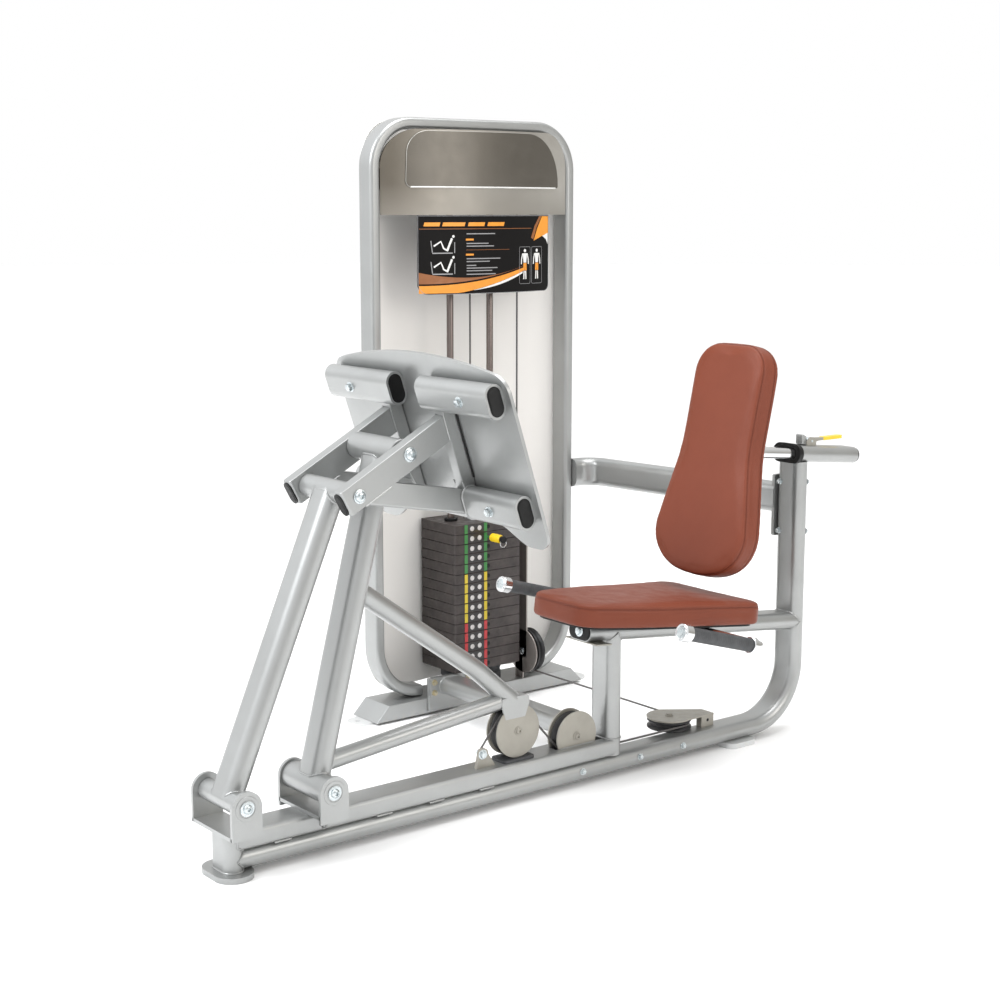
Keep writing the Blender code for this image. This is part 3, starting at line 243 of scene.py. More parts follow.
def make_looks():
    """Every finish of the machine, by name."""
    looks = {}
    looks["paint"] = paint("silver_paint", (0.370, 0.378, 0.375), (0.330, 0.336, 0.332), 0.72)
    looks["header"] = header_panel("header_reflection_paint")
    looks["name"] = header_look("name_paint", (0.130, 0.118, 0.100))
    looks["guard"] = header_look("guard_paint", (0.335, 0.305, 0.285))
    panel = Look("frosted_sheet", (0.90, 0.885, 0.855), 0.48, 0.0, IOR=1.45)
    panel.tint(panel.noise(2.2, 3.0, 0.5, (1, 1, 0.15)), (0.84, 0.825, 0.80), 0.3, 0.8)
    panel.shine(panel.noise(60.0, 3.0), 0.42, 0.55)
    panel.bump(panel.noise(900.0, 1.0), 0.06, 0.0003)
    looks["panel"] = panel.material
    looks["vinyl"] = vinyl("tan_vinyl", (0.190, 0.048, 0.0255), (0.156, 0.039, 0.0205))
    looks["seam"] = vinyl("seam_vinyl", (0.145, 0.034, 0.019), (0.125, 0.029, 0.016))
    plastic = Look("black_plastic", (0.008, 0.008, 0.008), 0.42, Specular_IOR_Level=0.22)
    plastic.tint(plastic.noise(40.0), (0.014, 0.014, 0.014), 0.4, 0.7)
    plastic.shine(plastic.noise(90.0), 0.34, 0.52)
    plastic.bump(plastic.noise(700.0, 2.0), 0.18, 0.0004)
    looks["plastic"] = plastic.material
    rubber = Look("grip_rubber", (0.036, 0.038, 0.041), 0.62)
    rubber.tint(rubber.noise(25.0, 4.0), (0.060, 0.062, 0.066), 0.35, 0.75)
    rubber.shine(rubber.noise(120.0), 0.52, 0.70)
    rubber.bump(rubber.cells(900.0, "F1"), 0.35, 0.0005)
    looks["rubber"] = rubber.material
    chrome = Look("chrome_plate", (0.78, 0.79, 0.80), 0.12, 1.0)
    chrome.tint(chrome.noise(6.0, 3.0), (0.70, 0.71, 0.72), 0.4, 0.7)
    chrome.shine(chrome.noise(35.0, 5.0), 0.08, 0.20)
    chrome.bump(chrome.noise(60.0, 2.0), 0.03, 0.0004)
    looks["chrome"] = chrome.material
    zinc = Look("zinc_bolt", (0.62, 0.66, 0.67), 0.26, 0.95)
    zinc.tint(zinc.noise(160.0, 3.0), (0.48, 0.53, 0.55), 0.35, 0.7)
    zinc.shine(zinc.noise(220.0, 3.0), 0.18, 0.38)
    zinc.bump(zinc.noise(500.0, 2.0), 0.12, 0.0003)
    looks["zinc"] = zinc.material
    brass = Look("passivated_bolt", (0.55, 0.47, 0.30), 0.32, 0.9)
    brass.tint(brass.noise(150.0, 3.0), (0.40, 0.38, 0.30), 0.35, 0.7)
    brass.shine(brass.noise(220.0, 3.0), 0.24, 0.44)
    looks["brass"] = brass.material
    iron = Look("stack_iron", (0.050, 0.043, 0.042), 0.46, 0.45)
    iron.tint(iron.noise(30.0, 5.0, 0.65), (0.082, 0.070, 0.066), 0.35, 0.75)
    iron.shine(iron.noise(55.0, 4.0), 0.38, 0.60)
    iron.bump(iron.noise(260.0, 4.0, 0.6), 0.35, 0.0008)
    looks["iron"] = iron.material
    nylon = Look("pulley_nylon", (0.014, 0.014, 0.015), 0.38)
    nylon.tint(nylon.noise(60.0), (0.026, 0.026, 0.027), 0.4, 0.7)
    nylon.shine(nylon.noise(120.0), 0.30, 0.50)
    looks["nylon"] = nylon.material
    disc = Look("guard_disc", (0.320, 0.305, 0.265), 0.42, 0.30, Coat_Weight=0.2)
    disc.tint(disc.noise(18.0, 4.0), (0.285, 0.270, 0.235), 0.35, 0.7)
    disc.shine(disc.noise(70.0, 4.0), 0.34, 0.50)
    disc.bump(disc.noise(500.0, 2.0), 0.10, 0.0004)
    looks["disc"] = disc.material
    cable = Look("coated_cable", (0.085, 0.080, 0.078), 0.42)
    cable.tint(cable.noise(300.0), (0.120, 0.113, 0.110), 0.4, 0.7)
    cable.bump(cable.cells(700.0, "F1"), 0.3, 0.0004)
    looks["cable"] = cable.material
    looks["sign"] = printed("sign_black", (0.005, 0.0045, 0.0045), 0.42, 0.0, 0.12)
    looks["orange"] = printed("sign_orange", (0.78, 0.29, 0.018))
    looks["rust"] = printed("sign_rust", (0.26, 0.085, 0.018))
    looks["white"] = printed("sign_white", (0.78, 0.78, 0.77))
    looks["grey"] = printed("sign_grey", (0.30, 0.30, 0.31))
    looks["green"] = printed("label_green", (0.035, 0.22, 0.045))
    looks["amber"] = printed("label_yellow", (0.62, 0.47, 0.02))
    looks["red"] = printed("label_red", (0.48, 0.025, 0.03))
    looks["label"] = printed("label_black", (0.022, 0.020, 0.021))
    yellow = Look("yellow_handle", (0.84, 0.58, 0.010), 0.32, 0.0, Coat_Weight=0.3)
    yellow.tint(yellow.noise(30.0, 3.0), (0.76, 0.50, 0.010), 0.4, 0.7)
    yellow.shine(yellow.noise(90.0), 0.26, 0.42)
    looks["yellow"] = yellow.material
    return looks


def header_look(name, colour):
    """Dark bronze metallic paint with a soft brushed sheen."""
    look = Look(name, colour, 0.34, 0.72, Coat_Weight=0.3, Coat_Roughness=0.18)
    look.tint(look.noise(4.0, 4.0, 0.55), tuple(c * 0.86 for c in colour), 0.3, 0.75)
    look.tint(look.noise(1400.0, 1.0), tuple(min(1, c * 1.25) for c in colour), 0.60, 0.75)
    look.shine(look.noise(24.0, 4.0, 0.6), 0.30, 0.42)
    look.bump(look.noise(520.0, 2.0), 0.08, 0.0005)
    return look.material


def header_panel(name):
    """The header sheet: dark bronze at its top left, with a painted reflection that lightens it to the right
    and along its foot.
    """
    look = Look(name, (0.140, 0.124, 0.100), 0.34, 0.72, Coat_Weight=0.22, Coat_Roughness=0.2)
    parts = look.add("ShaderNodeSeparateXYZ")
    look.join(look.place, parts.inputs[0])
    left, right = TOWER_X - MID.x - 0.28, TOWER_X - MID.x + 0.30
    # painted reflection: the colour lightens towards the sheet's right end and towards its foot
    look.tint(parts.outputs["X"], (0.520, 0.505, 0.470), left, right)
    look.tint(parts.outputs["Z"], (0.300, 0.282, 0.250), 1.412, 1.300)
    look.tint(look.noise(4.0, 4.0, 0.55), (0.240, 0.215, 0.185), 0.35, 1.8)
    look.shine(look.noise(24.0, 4.0, 0.6), 0.30, 0.44)
    look.bump(look.noise(520.0, 2.0), 0.08, 0.0005)
    return look.material


def vinyl(name, colour, dark):
    """Soft-sheen upholstery vinyl with a fine pebbled grain."""
    look = Look(name, colour, 0.42, 0.0, Specular_IOR_Level=0.26, IOR=1.45)
    look.tint(look.noise(7.0, 4.0, 0.6), dark, 0.32, 0.88)
    look.tint(look.cells(780.0), dark, 0.10, 0.0)
    look.shine(look.noise(30.0, 5.0, 0.6), 0.37, 0.50)
    look.bump(look.noise(22.0, 3.0, 0.5), 0.06, 0.0012)
    look.bump(look.cells(620.0), 0.20, 0.0005)
    return look.material


def printed(name, colour, rough=0.36, coat=0.25, specular=0.5):
    """Flat printed ink, with a faint unevenness."""
    look = Look(name, colour, rough, 0.0, Coat_Weight=coat, Coat_Roughness=0.12, Specular_IOR_Level=specular)
    look.tint(look.noise(60.0, 3.0), tuple(c * 0.9 for c in colour), 0.4, 0.7)
    look.shine(look.noise(140.0, 3.0), rough - 0.06, rough + 0.10)
    return look.material


LOOKS = make_looks()


# ---------------------------------------------------------------- shapes
def mesh_of(work):
    """A mesh from a bmesh, with its faces turned outward."""
    mesh = bpy.data.meshes.new("piece")
    bmesh.ops.recalc_face_normals(work, faces=work.faces)
    work.to_mesh(mesh)
    work.free()
    return mesh


def tidy(mesh):
    """Merges doubled points and turns the faces outward."""
    work = bmesh.new()
    work.from_mesh(mesh)
    bmesh.ops.remove_doubles(work, verts=work.verts, dist=0.00001)
    bmesh.ops.recalc_face_normals(work, faces=work.faces)
    if work.calc_volume(signed=True) < 0:
        bmesh.ops.reverse_faces(work, faces=work.faces)
    work.to_mesh(mesh)
    work.free()
    return mesh


def line_curve(points, closed, kind):
    curve = bpy.data.curves.new("line", "CURVE")
    curve.dimensions = kind
    add_spline(curve, points, closed)
    return curve


def add_spline(curve, points, closed):
    spline = curve.splines.new("POLY")
    spline.points.add(len(points) - 1)
    for spot, point in zip(spline.points, points):
        height = point[2] if len(point) > 2 else 0.0
        spot.co = (point[0], point[1], height, 1.0)
    spline.use_cyclic_u = closed


def curve_mesh(curve, matrix):
    holder = bpy.data.objects.new("curve", curve)
    bpy.context.scene.collection.objects.link(holder)
    graph = bpy.context.evaluated_depsgraph_get()
    mesh = bpy.data.meshes.new_from_object(holder.evaluated_get(graph))
    bpy.data.objects.remove(holder)
    mesh.transform(matrix)
    return tidy(mesh)


def prism(outline, thick, matrix=FLAT, holes=()):
    """A closed outline, with any holes, pushed out to a thickness about its own plane."""
    curve = line_curve(outline, True, "2D")
    for hole in holes:
        add_spline(curve, hole, True)
    curve.fill_mode = "BOTH"
    curve.extrude = thick / 2
    return curve_mesh(curve, matrix)


def sweep(path, profile, matrix=ALONG_XZ, closed=False):
    """A profile carried along a flat path of (x, z) points."""
    section = bpy.data.objects.new("section", line_curve(profile, True, "2D"))
    bpy.context.scene.collection.objects.link(section)
    curve = line_curve(path, closed, "2D")
    curve.fill_mode = "NONE"
    curve.bevel_mode = "OBJECT"
    curve.bevel_object = section
    curve.use_fill_caps = not closed
    mesh = curve_mesh(curve, matrix)
    bpy.data.objects.remove(section)
    return mesh


def wire(points, radius, closed=False, sides=4):
    """A round cord along points in 3-D."""
    curve = line_curve([tuple(p) for p in points], closed, "3D")
    curve.bevel_depth = radius
    curve.bevel_resolution = sides
    curve.use_fill_caps = True
    return curve_mesh(curve, FLAT)


def box(low, high, matrix=FLAT):
    """A block between two corners."""
    low = Vector(low)
    size = Vector(high) - low
    work = bmesh.new()
    bmesh.ops.create_cube(work, size=1.0)
    place = matrix @ Matrix.Translation(low + size / 2) @ Matrix.Diagonal((*size, 1.0))
    bmesh.ops.transform(work, matrix=place, verts=work.verts)
    return mesh_of(work)


def turned(outline, matrix=FLAT, sides=64, closed=False):
    """A lathe shape of (radius, height) points about local Z, with its ends on the axis closed."""
    work = bmesh.new()
    rings = []
    for radius, height in outline:
        if radius < 1e-6:
            rings.append([work.verts.new((0, 0, height))])
            continue
        ring = []
        for index in range(sides):
            turn = 2 * math.pi * index / sides
            ring.append(work.verts.new((radius * math.cos(turn), radius * math.sin(turn), height)))
        rings.append(ring)
    pairs = list(zip(rings, rings[1:]))
    if closed:
        pairs.append((rings[-1], rings[0]))
    for first, second in pairs:
        for index in range(sides):
            after = (index + 1) % sides
            corners = [first[index % len(first)], first[after % len(first)]]
            corners += [second[after % len(second)], second[index % len(second)]]
            corners = list(dict.fromkeys(corners))
            if len(corners) > 2:
                work.faces.new(corners)
    bmesh.ops.transform(work, matrix=matrix, verts=work.verts)
    return mesh_of(work)


def rod(centre, radius, length, matrix=FLAT, sides=48, edge=0.0012):
    """A round bar with eased ends, along local Z."""
    half = length / 2
    edge = min(edge, radius * 0.4, half * 0.8)
    outline = [(0, half), (radius - edge, half), (radius - edge * 0.3, half - edge * 0.3)]
    outline += [(radius, half - edge), (radius, -half + edge)]
    outline += [(radius - edge * 0.3, -half + edge * 0.3), (radius - edge, -half), (0, -half)]
    return turned(outline, Matrix.Translation(centre) @ matrix, sides)


def ring_part(centre, inner, outer, length, matrix=FLAT, sides=48, edge=0.0008):
    """A round tube with eased ends, along local Z."""
    half = length / 2
    outline = [(inner, half - edge), (inner + edge, half), (outer - edge, half), (outer, half - edge)]
    outline += [(outer, -half + edge), (outer - edge, -half), (inner + edge, -half), (inner, -half + edge)]
    return turned(outline, Matrix.Translation(centre) @ matrix, sides, True)


def distinct(points):
    kept = [points[0]]
    for point in points[1:]:
        if math.dist(point, kept[-1]) > 0.00005:
            kept.append(point)
    if math.dist(kept[0], kept[-1]) < 0.00005:
        kept.pop()
    return kept


def rounded(wide, tall, radius, steps=10):
    """A rectangle outline with round corners."""
    corners = []
    for sign_x, sign_y, start in ((1, 1, 0), (-1, 1, 90), (-1, -1, 180), (1, -1, 270)):
        centre = (sign_x * (wide / 2 - radius), sign_y * (tall / 2 - radius))
        for step in range(steps + 1):
            turn = math.radians(start + 90 * step / steps)
            corners.append((centre[0] + radius * math.cos(turn), centre[1] + radius * math.sin(turn)))
    return distinct(corners)


def flat_oval(thin=0.045, wide=0.080, grow=0.0):
    """The outline of the main flat-oval tube."""
    return rounded(thin + 2 * grow, wide + 2 * grow, min(thin, wide) / 2 + grow - 0.0001, 12)


def arc(centre, radius, start, end, steps):
    """Points along part of a circle, in degrees."""
    points = []
    for step in range(steps + 1):
        turn = math.radians(start + (end - start) * step / steps)
        points.append((centre[0] + radius * math.cos(turn), centre[1] + radius * math.sin(turn)))
    return points


def filleted(corners, radii, closed=True, steps=12):
    """A polygon with each corner rounded by its own radius."""
    count = len(corners)
    result = []
    for index, (corner, radius) in enumerate(zip(corners, radii)):
        here = Vector(corner)
        if radius == 0 or (not closed and index in (0, count - 1)):
            result.append(tuple(here))
            continue
        back = (Vector(corners[index - 1]) - here).normalized()
        ahead = (Vector(corners[(index + 1) % count]) - here).normalized()
        half = back.angle(ahead) / 2
        middle = here + (back + ahead).normalized() * radius / math.sin(half)
        first = here + back * radius / math.tan(half) - middle
        span = first.angle_signed(here + ahead * radius / math.tan(half) - middle)
        for step in range(steps + 1):
            turn = Matrix.Rotation(-span * step / steps, 2)
            result.append(tuple(middle + turn @ first))
    return result


def along(start, end):
    way = Vector(end) - Vector(start)
    turn = way.to_track_quat("Z", "Y").to_matrix().to_4x4()
    return Matrix.Translation((Vector(start) + Vector(end)) / 2) @ turn


def move(x=0.0, y=0.0, z=0.0):
    return Matrix.Translation((x, y, z))


def slope(origin, turn):
    return Matrix.Translation(origin) @ Matrix.Rotation(turn, 4, "Y")


def joined(meshes):
    work = bmesh.new()
    for mesh in meshes:
        work.from_mesh(mesh)
    out = bpy.data.meshes.new("joined")
    work.to_mesh(out)
    work.free()
    return out


def apply_boolean(mesh, cutters, operation="DIFFERENCE"):
    holder = bpy.data.objects.new("holder", mesh)
    bpy.context.scene.collection.objects.link(holder)
    helpers = []
    for cutter in cutters:
        helper = bpy.data.objects.new("helper", cutter)
        bpy.context.scene.collection.objects.link(helper)
        step = holder.modifiers.new("cut", "BOOLEAN")
        step.operation = operation
        step.solver = "EXACT"
        step.object = helper
        helpers.append(helper)
    graph = bpy.context.evaluated_depsgraph_get()
    graph.update()
    made = bpy.data.meshes.new_from_object(holder.evaluated_get(graph))
    for helper in [holder, *helpers]:
        bpy.data.objects.remove(helper)
    return made


# ---------------------------------------------------------------- pieces
MADE = []
BLENDS = []
SQUASHES = []


def piece(name, mesh, body, look, stands_for=(), bevel=0.0, segments=3, angle=32):
    """One visible piece in the row frame, riding on a CAD body."""
    if isinstance(mesh, (list, tuple)):
        mesh = joined(mesh)
    mesh.transform(TO_ROW)
    mesh.materials.clear()
    mesh.materials.append(LOOKS[look])
    mesh.polygons.foreach_set("use_smooth", [True] * len(mesh.polygons))
    mesh.set_sharp_from_angle(angle=math.radians(angle))
    obj = bpy.data.objects.new(name, mesh)
    MADE.append(obj)
    if bevel:
        edge = obj.modifiers.new("Bevel", "BEVEL")
        edge.width = bevel
        edge.segments = segments
        edge.limit_method = "ANGLE"
        edge.angle_limit = math.radians(angle)
        edge.miter_outer = "MITER_ARC"
        edge.use_clamp_overlap = True
        edge.harden_normals = True
    if body:
        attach(obj, body)
    if stands_for:
        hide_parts(*stands_for)
    return obj


def painted(name, mesh, body, stands_for=(), bevel=0.0, segments=3, angle=32):
    """A piece in the frame's silver paint."""
    return piece(name, mesh, body, "paint", stands_for, bevel, segments, angle)


def zinced(name, mesh, body, stands_for=(), bevel=0.0, segments=3, angle=32):
    """A piece in bright zinc plate."""
    return piece(name, mesh, body, "zinc", stands_for, bevel, segments, angle)


def chromed(name, mesh, body, stands_for=(), bevel=0.0, segments=3, angle=32):
    """A piece in polished chrome."""
    return piece(name, mesh, body, "chrome", stands_for, bevel, segments, angle)


def plastic_piece(name, mesh, body, stands_for=(), bevel=0.0, segments=3, angle=32):
    """A piece in black plastic."""
    return piece(name, mesh, body, "plastic", stands_for, bevel, segments, angle)


def satin_piece(name, mesh, body, stands_for=(), bevel=0.0, segments=3, angle=32):
    """A piece in the satin finish of the guards."""
    return piece(name, mesh, body, "disc", stands_for, bevel, segments, angle)


def bead(name, section, way, target, body, radius=0.0024, reach=0.4):
    """A weld bead where lines from a section, run along a direction, meet a target mesh."""
    polygons = [tuple(p.vertices) for p in target.polygons]
    tree = BVHTree.FromPolygons([v.co.copy() for v in target.vertices], polygons)
    way = Vector(way).normalized()
    points = []
    for index, spot in enumerate(section):
        hit = tree.ray_cast(Vector(spot), way, reach)[0]
        if hit is not None:
            ripple = 0.00035 * math.sin(index * 2.4)
            points.append(hit - way * (radius * 0.35) + way * ripple)
    if len(points) < 8:
        return None
    closed = len(points) == len(section)
    return piece(name, wire(points, radius, closed, 3), body, "paint")


def section_points(outline, matrix):
    """Points at about 4 mm steps round an outline, placed in space."""
    dense = []
    count = len(outline)
    for index, point in enumerate(outline):
        after = outline[(index + 1) % count]
        gap = math.dist(point, after)
        parts = max(1, int(gap / 0.004))
        for part in range(parts):
            share = part / parts
            spot = (point[0] + (after[0] - point[0]) * share, point[1] + (after[1] - point[1]) * share, 0)
            dense.append(matrix @ Vector(spot))
    return dense


def hex_bolt(centre, matrix, size=0.0085, tall=0.006, washer=0.0115):
    """Washer, hexagon head with a turned crown, and a shallow domed end, up local +Z."""
    place = Matrix.Translation(centre) @ matrix
    parts = [rod((0, 0, 0.0008), washer, 0.0016, FLAT, 40, 0.0004)]
    head = [(size * math.cos(math.radians(60 * i)), size * math.sin(math.radians(60 * i))) for i in range(6)]
    parts.append(prism(head, tall, move(z=0.0016 + tall / 2)))
    parts.append(rod((0, 0, 0.0016 + tall), size * 0.80, 0.0012, FLAT, 32, 0.0006))
    made = joined(parts)
    made.transform(place)
    return made


def dome_bolt(centre, matrix, radius=0.0085, tall=0.0055, washer=0.0125):
    """Washer and a low round head with a hexagon socket, up local +Z."""
    place = Matrix.Translation(centre) @ matrix
    outline = [(0.0, tall * 0.45), (radius * 0.34, tall * 0.45), (radius * 0.42, tall * 1.02)]
    outline += [(radius * 0.70, tall * 0.92), (radius * 0.92, tall * 0.62), (radius, tall * 0.25),
                (radius, 0.0)]
    head = turned([(r, z + 0.0016) for r, z in outline] + [(0.0, 0.0)], FLAT, 40)
    made = joined([rod((0, 0, 0.0008), washer, 0.0016, FLAT, 40, 0.0004), head])
    made.transform(place)
    return made


def stadium(wide, tall, steps=14):
    return rounded(wide, tall, min(wide, tall) / 2 - 0.0001, steps)


def end_cap(name, matrix, wide, tall, body, deep=0.004):
    """A black push-in cap in the open end of a tube, with a ridge round it; outward is +Z."""
    outer = stadium(wide, tall)
    inner = stadium(wide - 0.006, tall - 0.006)
    cap = prism(outer, deep, matrix @ move(z=-deep / 2 + 0.0006))
    lip = prism(inner, 0.0012, matrix @ move(z=0.0010))
    return plastic_piece(name, [cap, lip], body, bevel=0.0007, segments=2)


# ---------------------------------------------------------------- base frame
def seat_beam_z(x):
    return SEAT_BEAM_AT.z - (x - SEAT_BEAM_AT.x) * math.tan(SEAT_SLOPE)


def rail_path():
    bend = arc((UPRIGHT_X - 0.150, RAIL_Z + 0.150), 0.150, -90, 0, 28)
    return [(0.0, RAIL_Z), *bend, (UPRIGHT_X, 0.7108)]


def base_rail():
    """The base rail and rear upright, one bent tube."""
    rail = sweep(rail_path(), flat_oval())
    painted("base_rail", rail.copy(), "frame", ["main_rail"])
    foot = prism(rounded(0.095, 0.110, 0.020), 0.0130, move(1.4625, 0.0, 0.0067))
    piece("rear_foot", foot, "frame", "white_paint", bevel=0.002)
    return rail


def front_post():
    """The front post with its round-ended foot."""
    post = prism(flat_oval(), 0.086, move(0.0, 0.0, 0.055))
    painted("front_post_tube", post.copy(), "frame", ["front_post"], 0.0012)
    foot = prism(rounded(0.085, 0.130, 0.0424, 16), 0.0122, move(0.0, 0.0, 0.0061))
    painted("front_foot", foot.copy(), "frame", (), 0.0022)
    ring = section_points(flat_oval(), move(0, 0, 0.05))
    bead("weld_front_foot", ring, (0, 0, -1), foot, "frame")
    ring = section_points(flat_oval(),
                          Matrix(((0, 0, 1, 0.10), (0, 1, 0, 0), (1, 0, 0, RAIL_Z), (0, 0, 0, 1))))
    bead("weld_front_rail", ring, (-1, 0, 0), post, "frame")
    return post


def upper_beam(post):
    """The beam on the rail that carries both arm pivots."""
    tall = BEAM_TOP - RAIL_TOP
    middle = (RAIL_TOP + BEAM_TOP) / 2
    section = rounded(tall, 0.080, 0.009, 6)
    beam = sweep([(0.0, middle), (SEAT_POST_X, middle)], section)
    beam = apply_boolean(beam, [box((0.868, -0.0135, 0.0), (1.05, 0.0135, 0.2))])
    painted("upper_beam_tube", beam, "frame", ["upper_beam"], 0.0008, 2)
    ring = section_points(section, Matrix(((0, 0, 1, 0.10), (0, 1, 0, 0), (1, 0, 0, middle), (0, 0, 0, 1))))
    bead("weld_front_beam", ring, (-1, 0, 0), post, "frame")
    for index, x in enumerate((0.090, 0.345, 0.485, 0.625)):
        for side in (-1, 1):
            points = [(x + 0.004 * k, side * 0.0375, RAIL_TOP + 0.0006 * (k % 2)) for k in range(11)]
            name = "stitch_weld_" + str(index) + ("_right" if side < 0 else "_left")
            painted(name, wire(points, 0.0021, False, 3), "frame")


def seat_supports(rail):
    """The seat beam, its post and front cap."""
    line = [(0.952, seat_beam_z(0.952)), (UPRIGHT_X, seat_beam_z(UPRIGHT_X))]
    beam = sweep(line, flat_oval())
    painted("seat_beam_tube", beam.copy(), "frame", ["seat_beam"], 0.0008, 2)
    post = prism(flat_oval(), 0.300, move(SEAT_POST_X, 0.0, RAIL_TOP + 0.150))
    painted("seat_post_tube", post, "frame", ["seat_post"])
    ring = section_points(flat_oval(), move(SEAT_POST_X, 0.0, 0.20))
    bead("weld_seat_post_top", ring, (0, 0, 1), beam, "frame")
    ring = section_points(flat_oval(), move(SEAT_POST_X, 0.0, 0.20))
    flat = box((0.9, -0.06, 0.05), (1.2, 0.06, BEAM_TOP))
    bead("weld_seat_post_base", ring, (0, 0, -1), flat, "frame")
    turn = Matrix(((0, 0, 1, 1.60), (0, 1, 0, 0), (1, 0, 0, seat_beam_z(1.60)), (0, 0, 0, 1)))
    bead("weld_seat_beam", section_points(flat_oval(), turn), (1, 0, -0.106), rail, "frame")
    front = slope(Vector((0.952, 0.0, seat_beam_z(0.952))), SEAT_SLOPE) @ TO_MINUS_X
    end_cap("seat_beam_cap", front, 0.040, 0.075, "frame")
    bolt = hex_bolt((0, 0, 0), front @ move(z=0.0016), 0.0085, 0.005, 0.013)
    zinced("seat_beam_cap_bolt", bolt, "frame")
    under = Vector((0.975, 0.0, seat_beam_z(0.975) - 0.0225))
    plate = box((-0.020, -0.055, -0.004), (0.030, 0.055, 0.0), slope(under, SEAT_SLOPE))
    satin_piece("seat_front_clip", plate, "frame", (), 0.001)
    return beam


def cross_tube():
    """The low tube from the rail to the tower."""
    place = move(1.060, 0.3395, 0.0785) @ AXIS_Y
    section = flat_oval(0.080, 0.045)
    tube = prism(section, 0.635, place)
    flange = prism(rounded(0.140, 0.052, 0.006, 5), 0.0082, move(1.060, 0.6586, 0.0785) @ AXIS_Y)
    painted("cross_tube_body", tube, "frame", ["cross_tube"])
    painted("cross_tube_flange", flange.copy(), "frame", (), 0.001)
    ring = section_points(section, move(1.060, 0.60, 0.0785) @ AXIS_Y)
    bead("weld_cross_tube", ring, (0, 1, 0), flange, "frame")
    for index, x in enumerate((1.003, 1.117)):
        for level, z in enumerate((0.064, 0.093)):
            bolt = hex_bolt((x, 0.6545, z), AXIS_Y, 0.0065, 0.005, 0.0085)
            piece("cross_bolt_%d_%d" % (index, level), bolt, "frame", "brass")


def side_arch():
    """The bent tube from the upright to the tower."""
    corners = [(1.5218, 0.700), (1.592, 0.700), (1.6695, 0.0445)]
    path = filleted(corners, (0, 0.062, 0), closed=False, steps=22)
    tube = sweep(path, flat_oval(), move(z=0.611))
    painted("side_arch_tube", tube, "frame", ["side_arch"])
    flange = prism(rounded(0.050, 0.161, 0.005, 4), 0.0085, move(1.675, 0.0447, 0.5915) @ AXIS_Y)
    painted("side_arch_flange", flange, "frame", (), 0.001)
    for level, z in enumerate((0.527, 0.656)):
        for x, y, out, tag in ((1.6527, 0.024, -90, "front"), (1.6973, -0.024, 90, "rear")):
            turn = Matrix.Rotation(math.radians(out), 4, "Y")
            bolt = hex_bolt((x, y, z), turn, 0.0062, 0.0055, 0.0082)
            zinced("arch_bolt_%s_%d" % (tag, level), bolt, "frame")


def clevis(name, node_name, pivot, ear_low):
    half = 0.035
    top = arc((pivot.x, pivot.z), half, 0, 180, 28)
    outline = [(pivot.x + half, ear_low), *top, (pivot.x - half, ear_low)]
    parts = []
    for side in (-1, 1):
        parts.append(prism(outline, 0.008, move(y=side * 0.081) @ ALONG_XZ))
    parts.append(box((pivot.x - half, -0.0815, BEAM_TOP), (pivot.x + half, 0.0815, BEAM_TOP + 0.008)))
    painted(name, parts, "frame", [node_name], 0.0014)
    for side in (-1, 1):
        tag = "right" if side < 0 else "left"
        y = side * 0.0852
        boss = ring_part((pivot.x, y, pivot.z), 0.0185, 0.0265, 0.0022, AXIS_Y, 56, 0.0008)
        painted(name + "_ring_" + tag, boss, "frame")
        turn = AXIS_Y if side < 0 else TO_PLUS_Y
        bolt = dome_bolt((pivot.x, side * 0.0852, pivot.z), turn, 0.0100, 0.0064, 0.0160)
        zinced(name + "_bolt_" + tag, bolt, "frame",
              [node_name.replace("clevis", "pivot_pin")] if side < 0 else ())


def clevises():
    clevis("front_clevis_plate", "front_clevis", FRONT_PIVOT, BEAM_TOP)
    clevis("rear_clevis_plate", "rear_clevis", REAR_PIVOT, 0.088)
    for side in (-1, 1):
        outline = [(side * 0.0404, 0.0985), (side * 0.0404, 0.060), (side * 0.078, 0.0985)]
        gusset = prism(outline, 0.006, move(x=REAR_PIVOT.x) @ ALONG_YZ)
        tag = "right" if side < 0 else "left"
        painted("rear_clevis_gusset_" + tag, gusset, "frame", (), 0.0008)


def rail_hardware():
    for index, x in enumerate((0.930, 1.114, 1.258)):
        bolt = hex_bolt((x, -0.0398, RAIL_Z + 0.004), AXIS_Y, 0.0065, 0.0045, 0.0085)
        zinced("rail_bolt_%d" % index, bolt, "frame")


# ---------------------------------------------------------------- handles and backrest carrier
def handle_place():
    return slope(Vector((0.974, 0.0, 0.424)), math.atan2(0.078, 0.271))


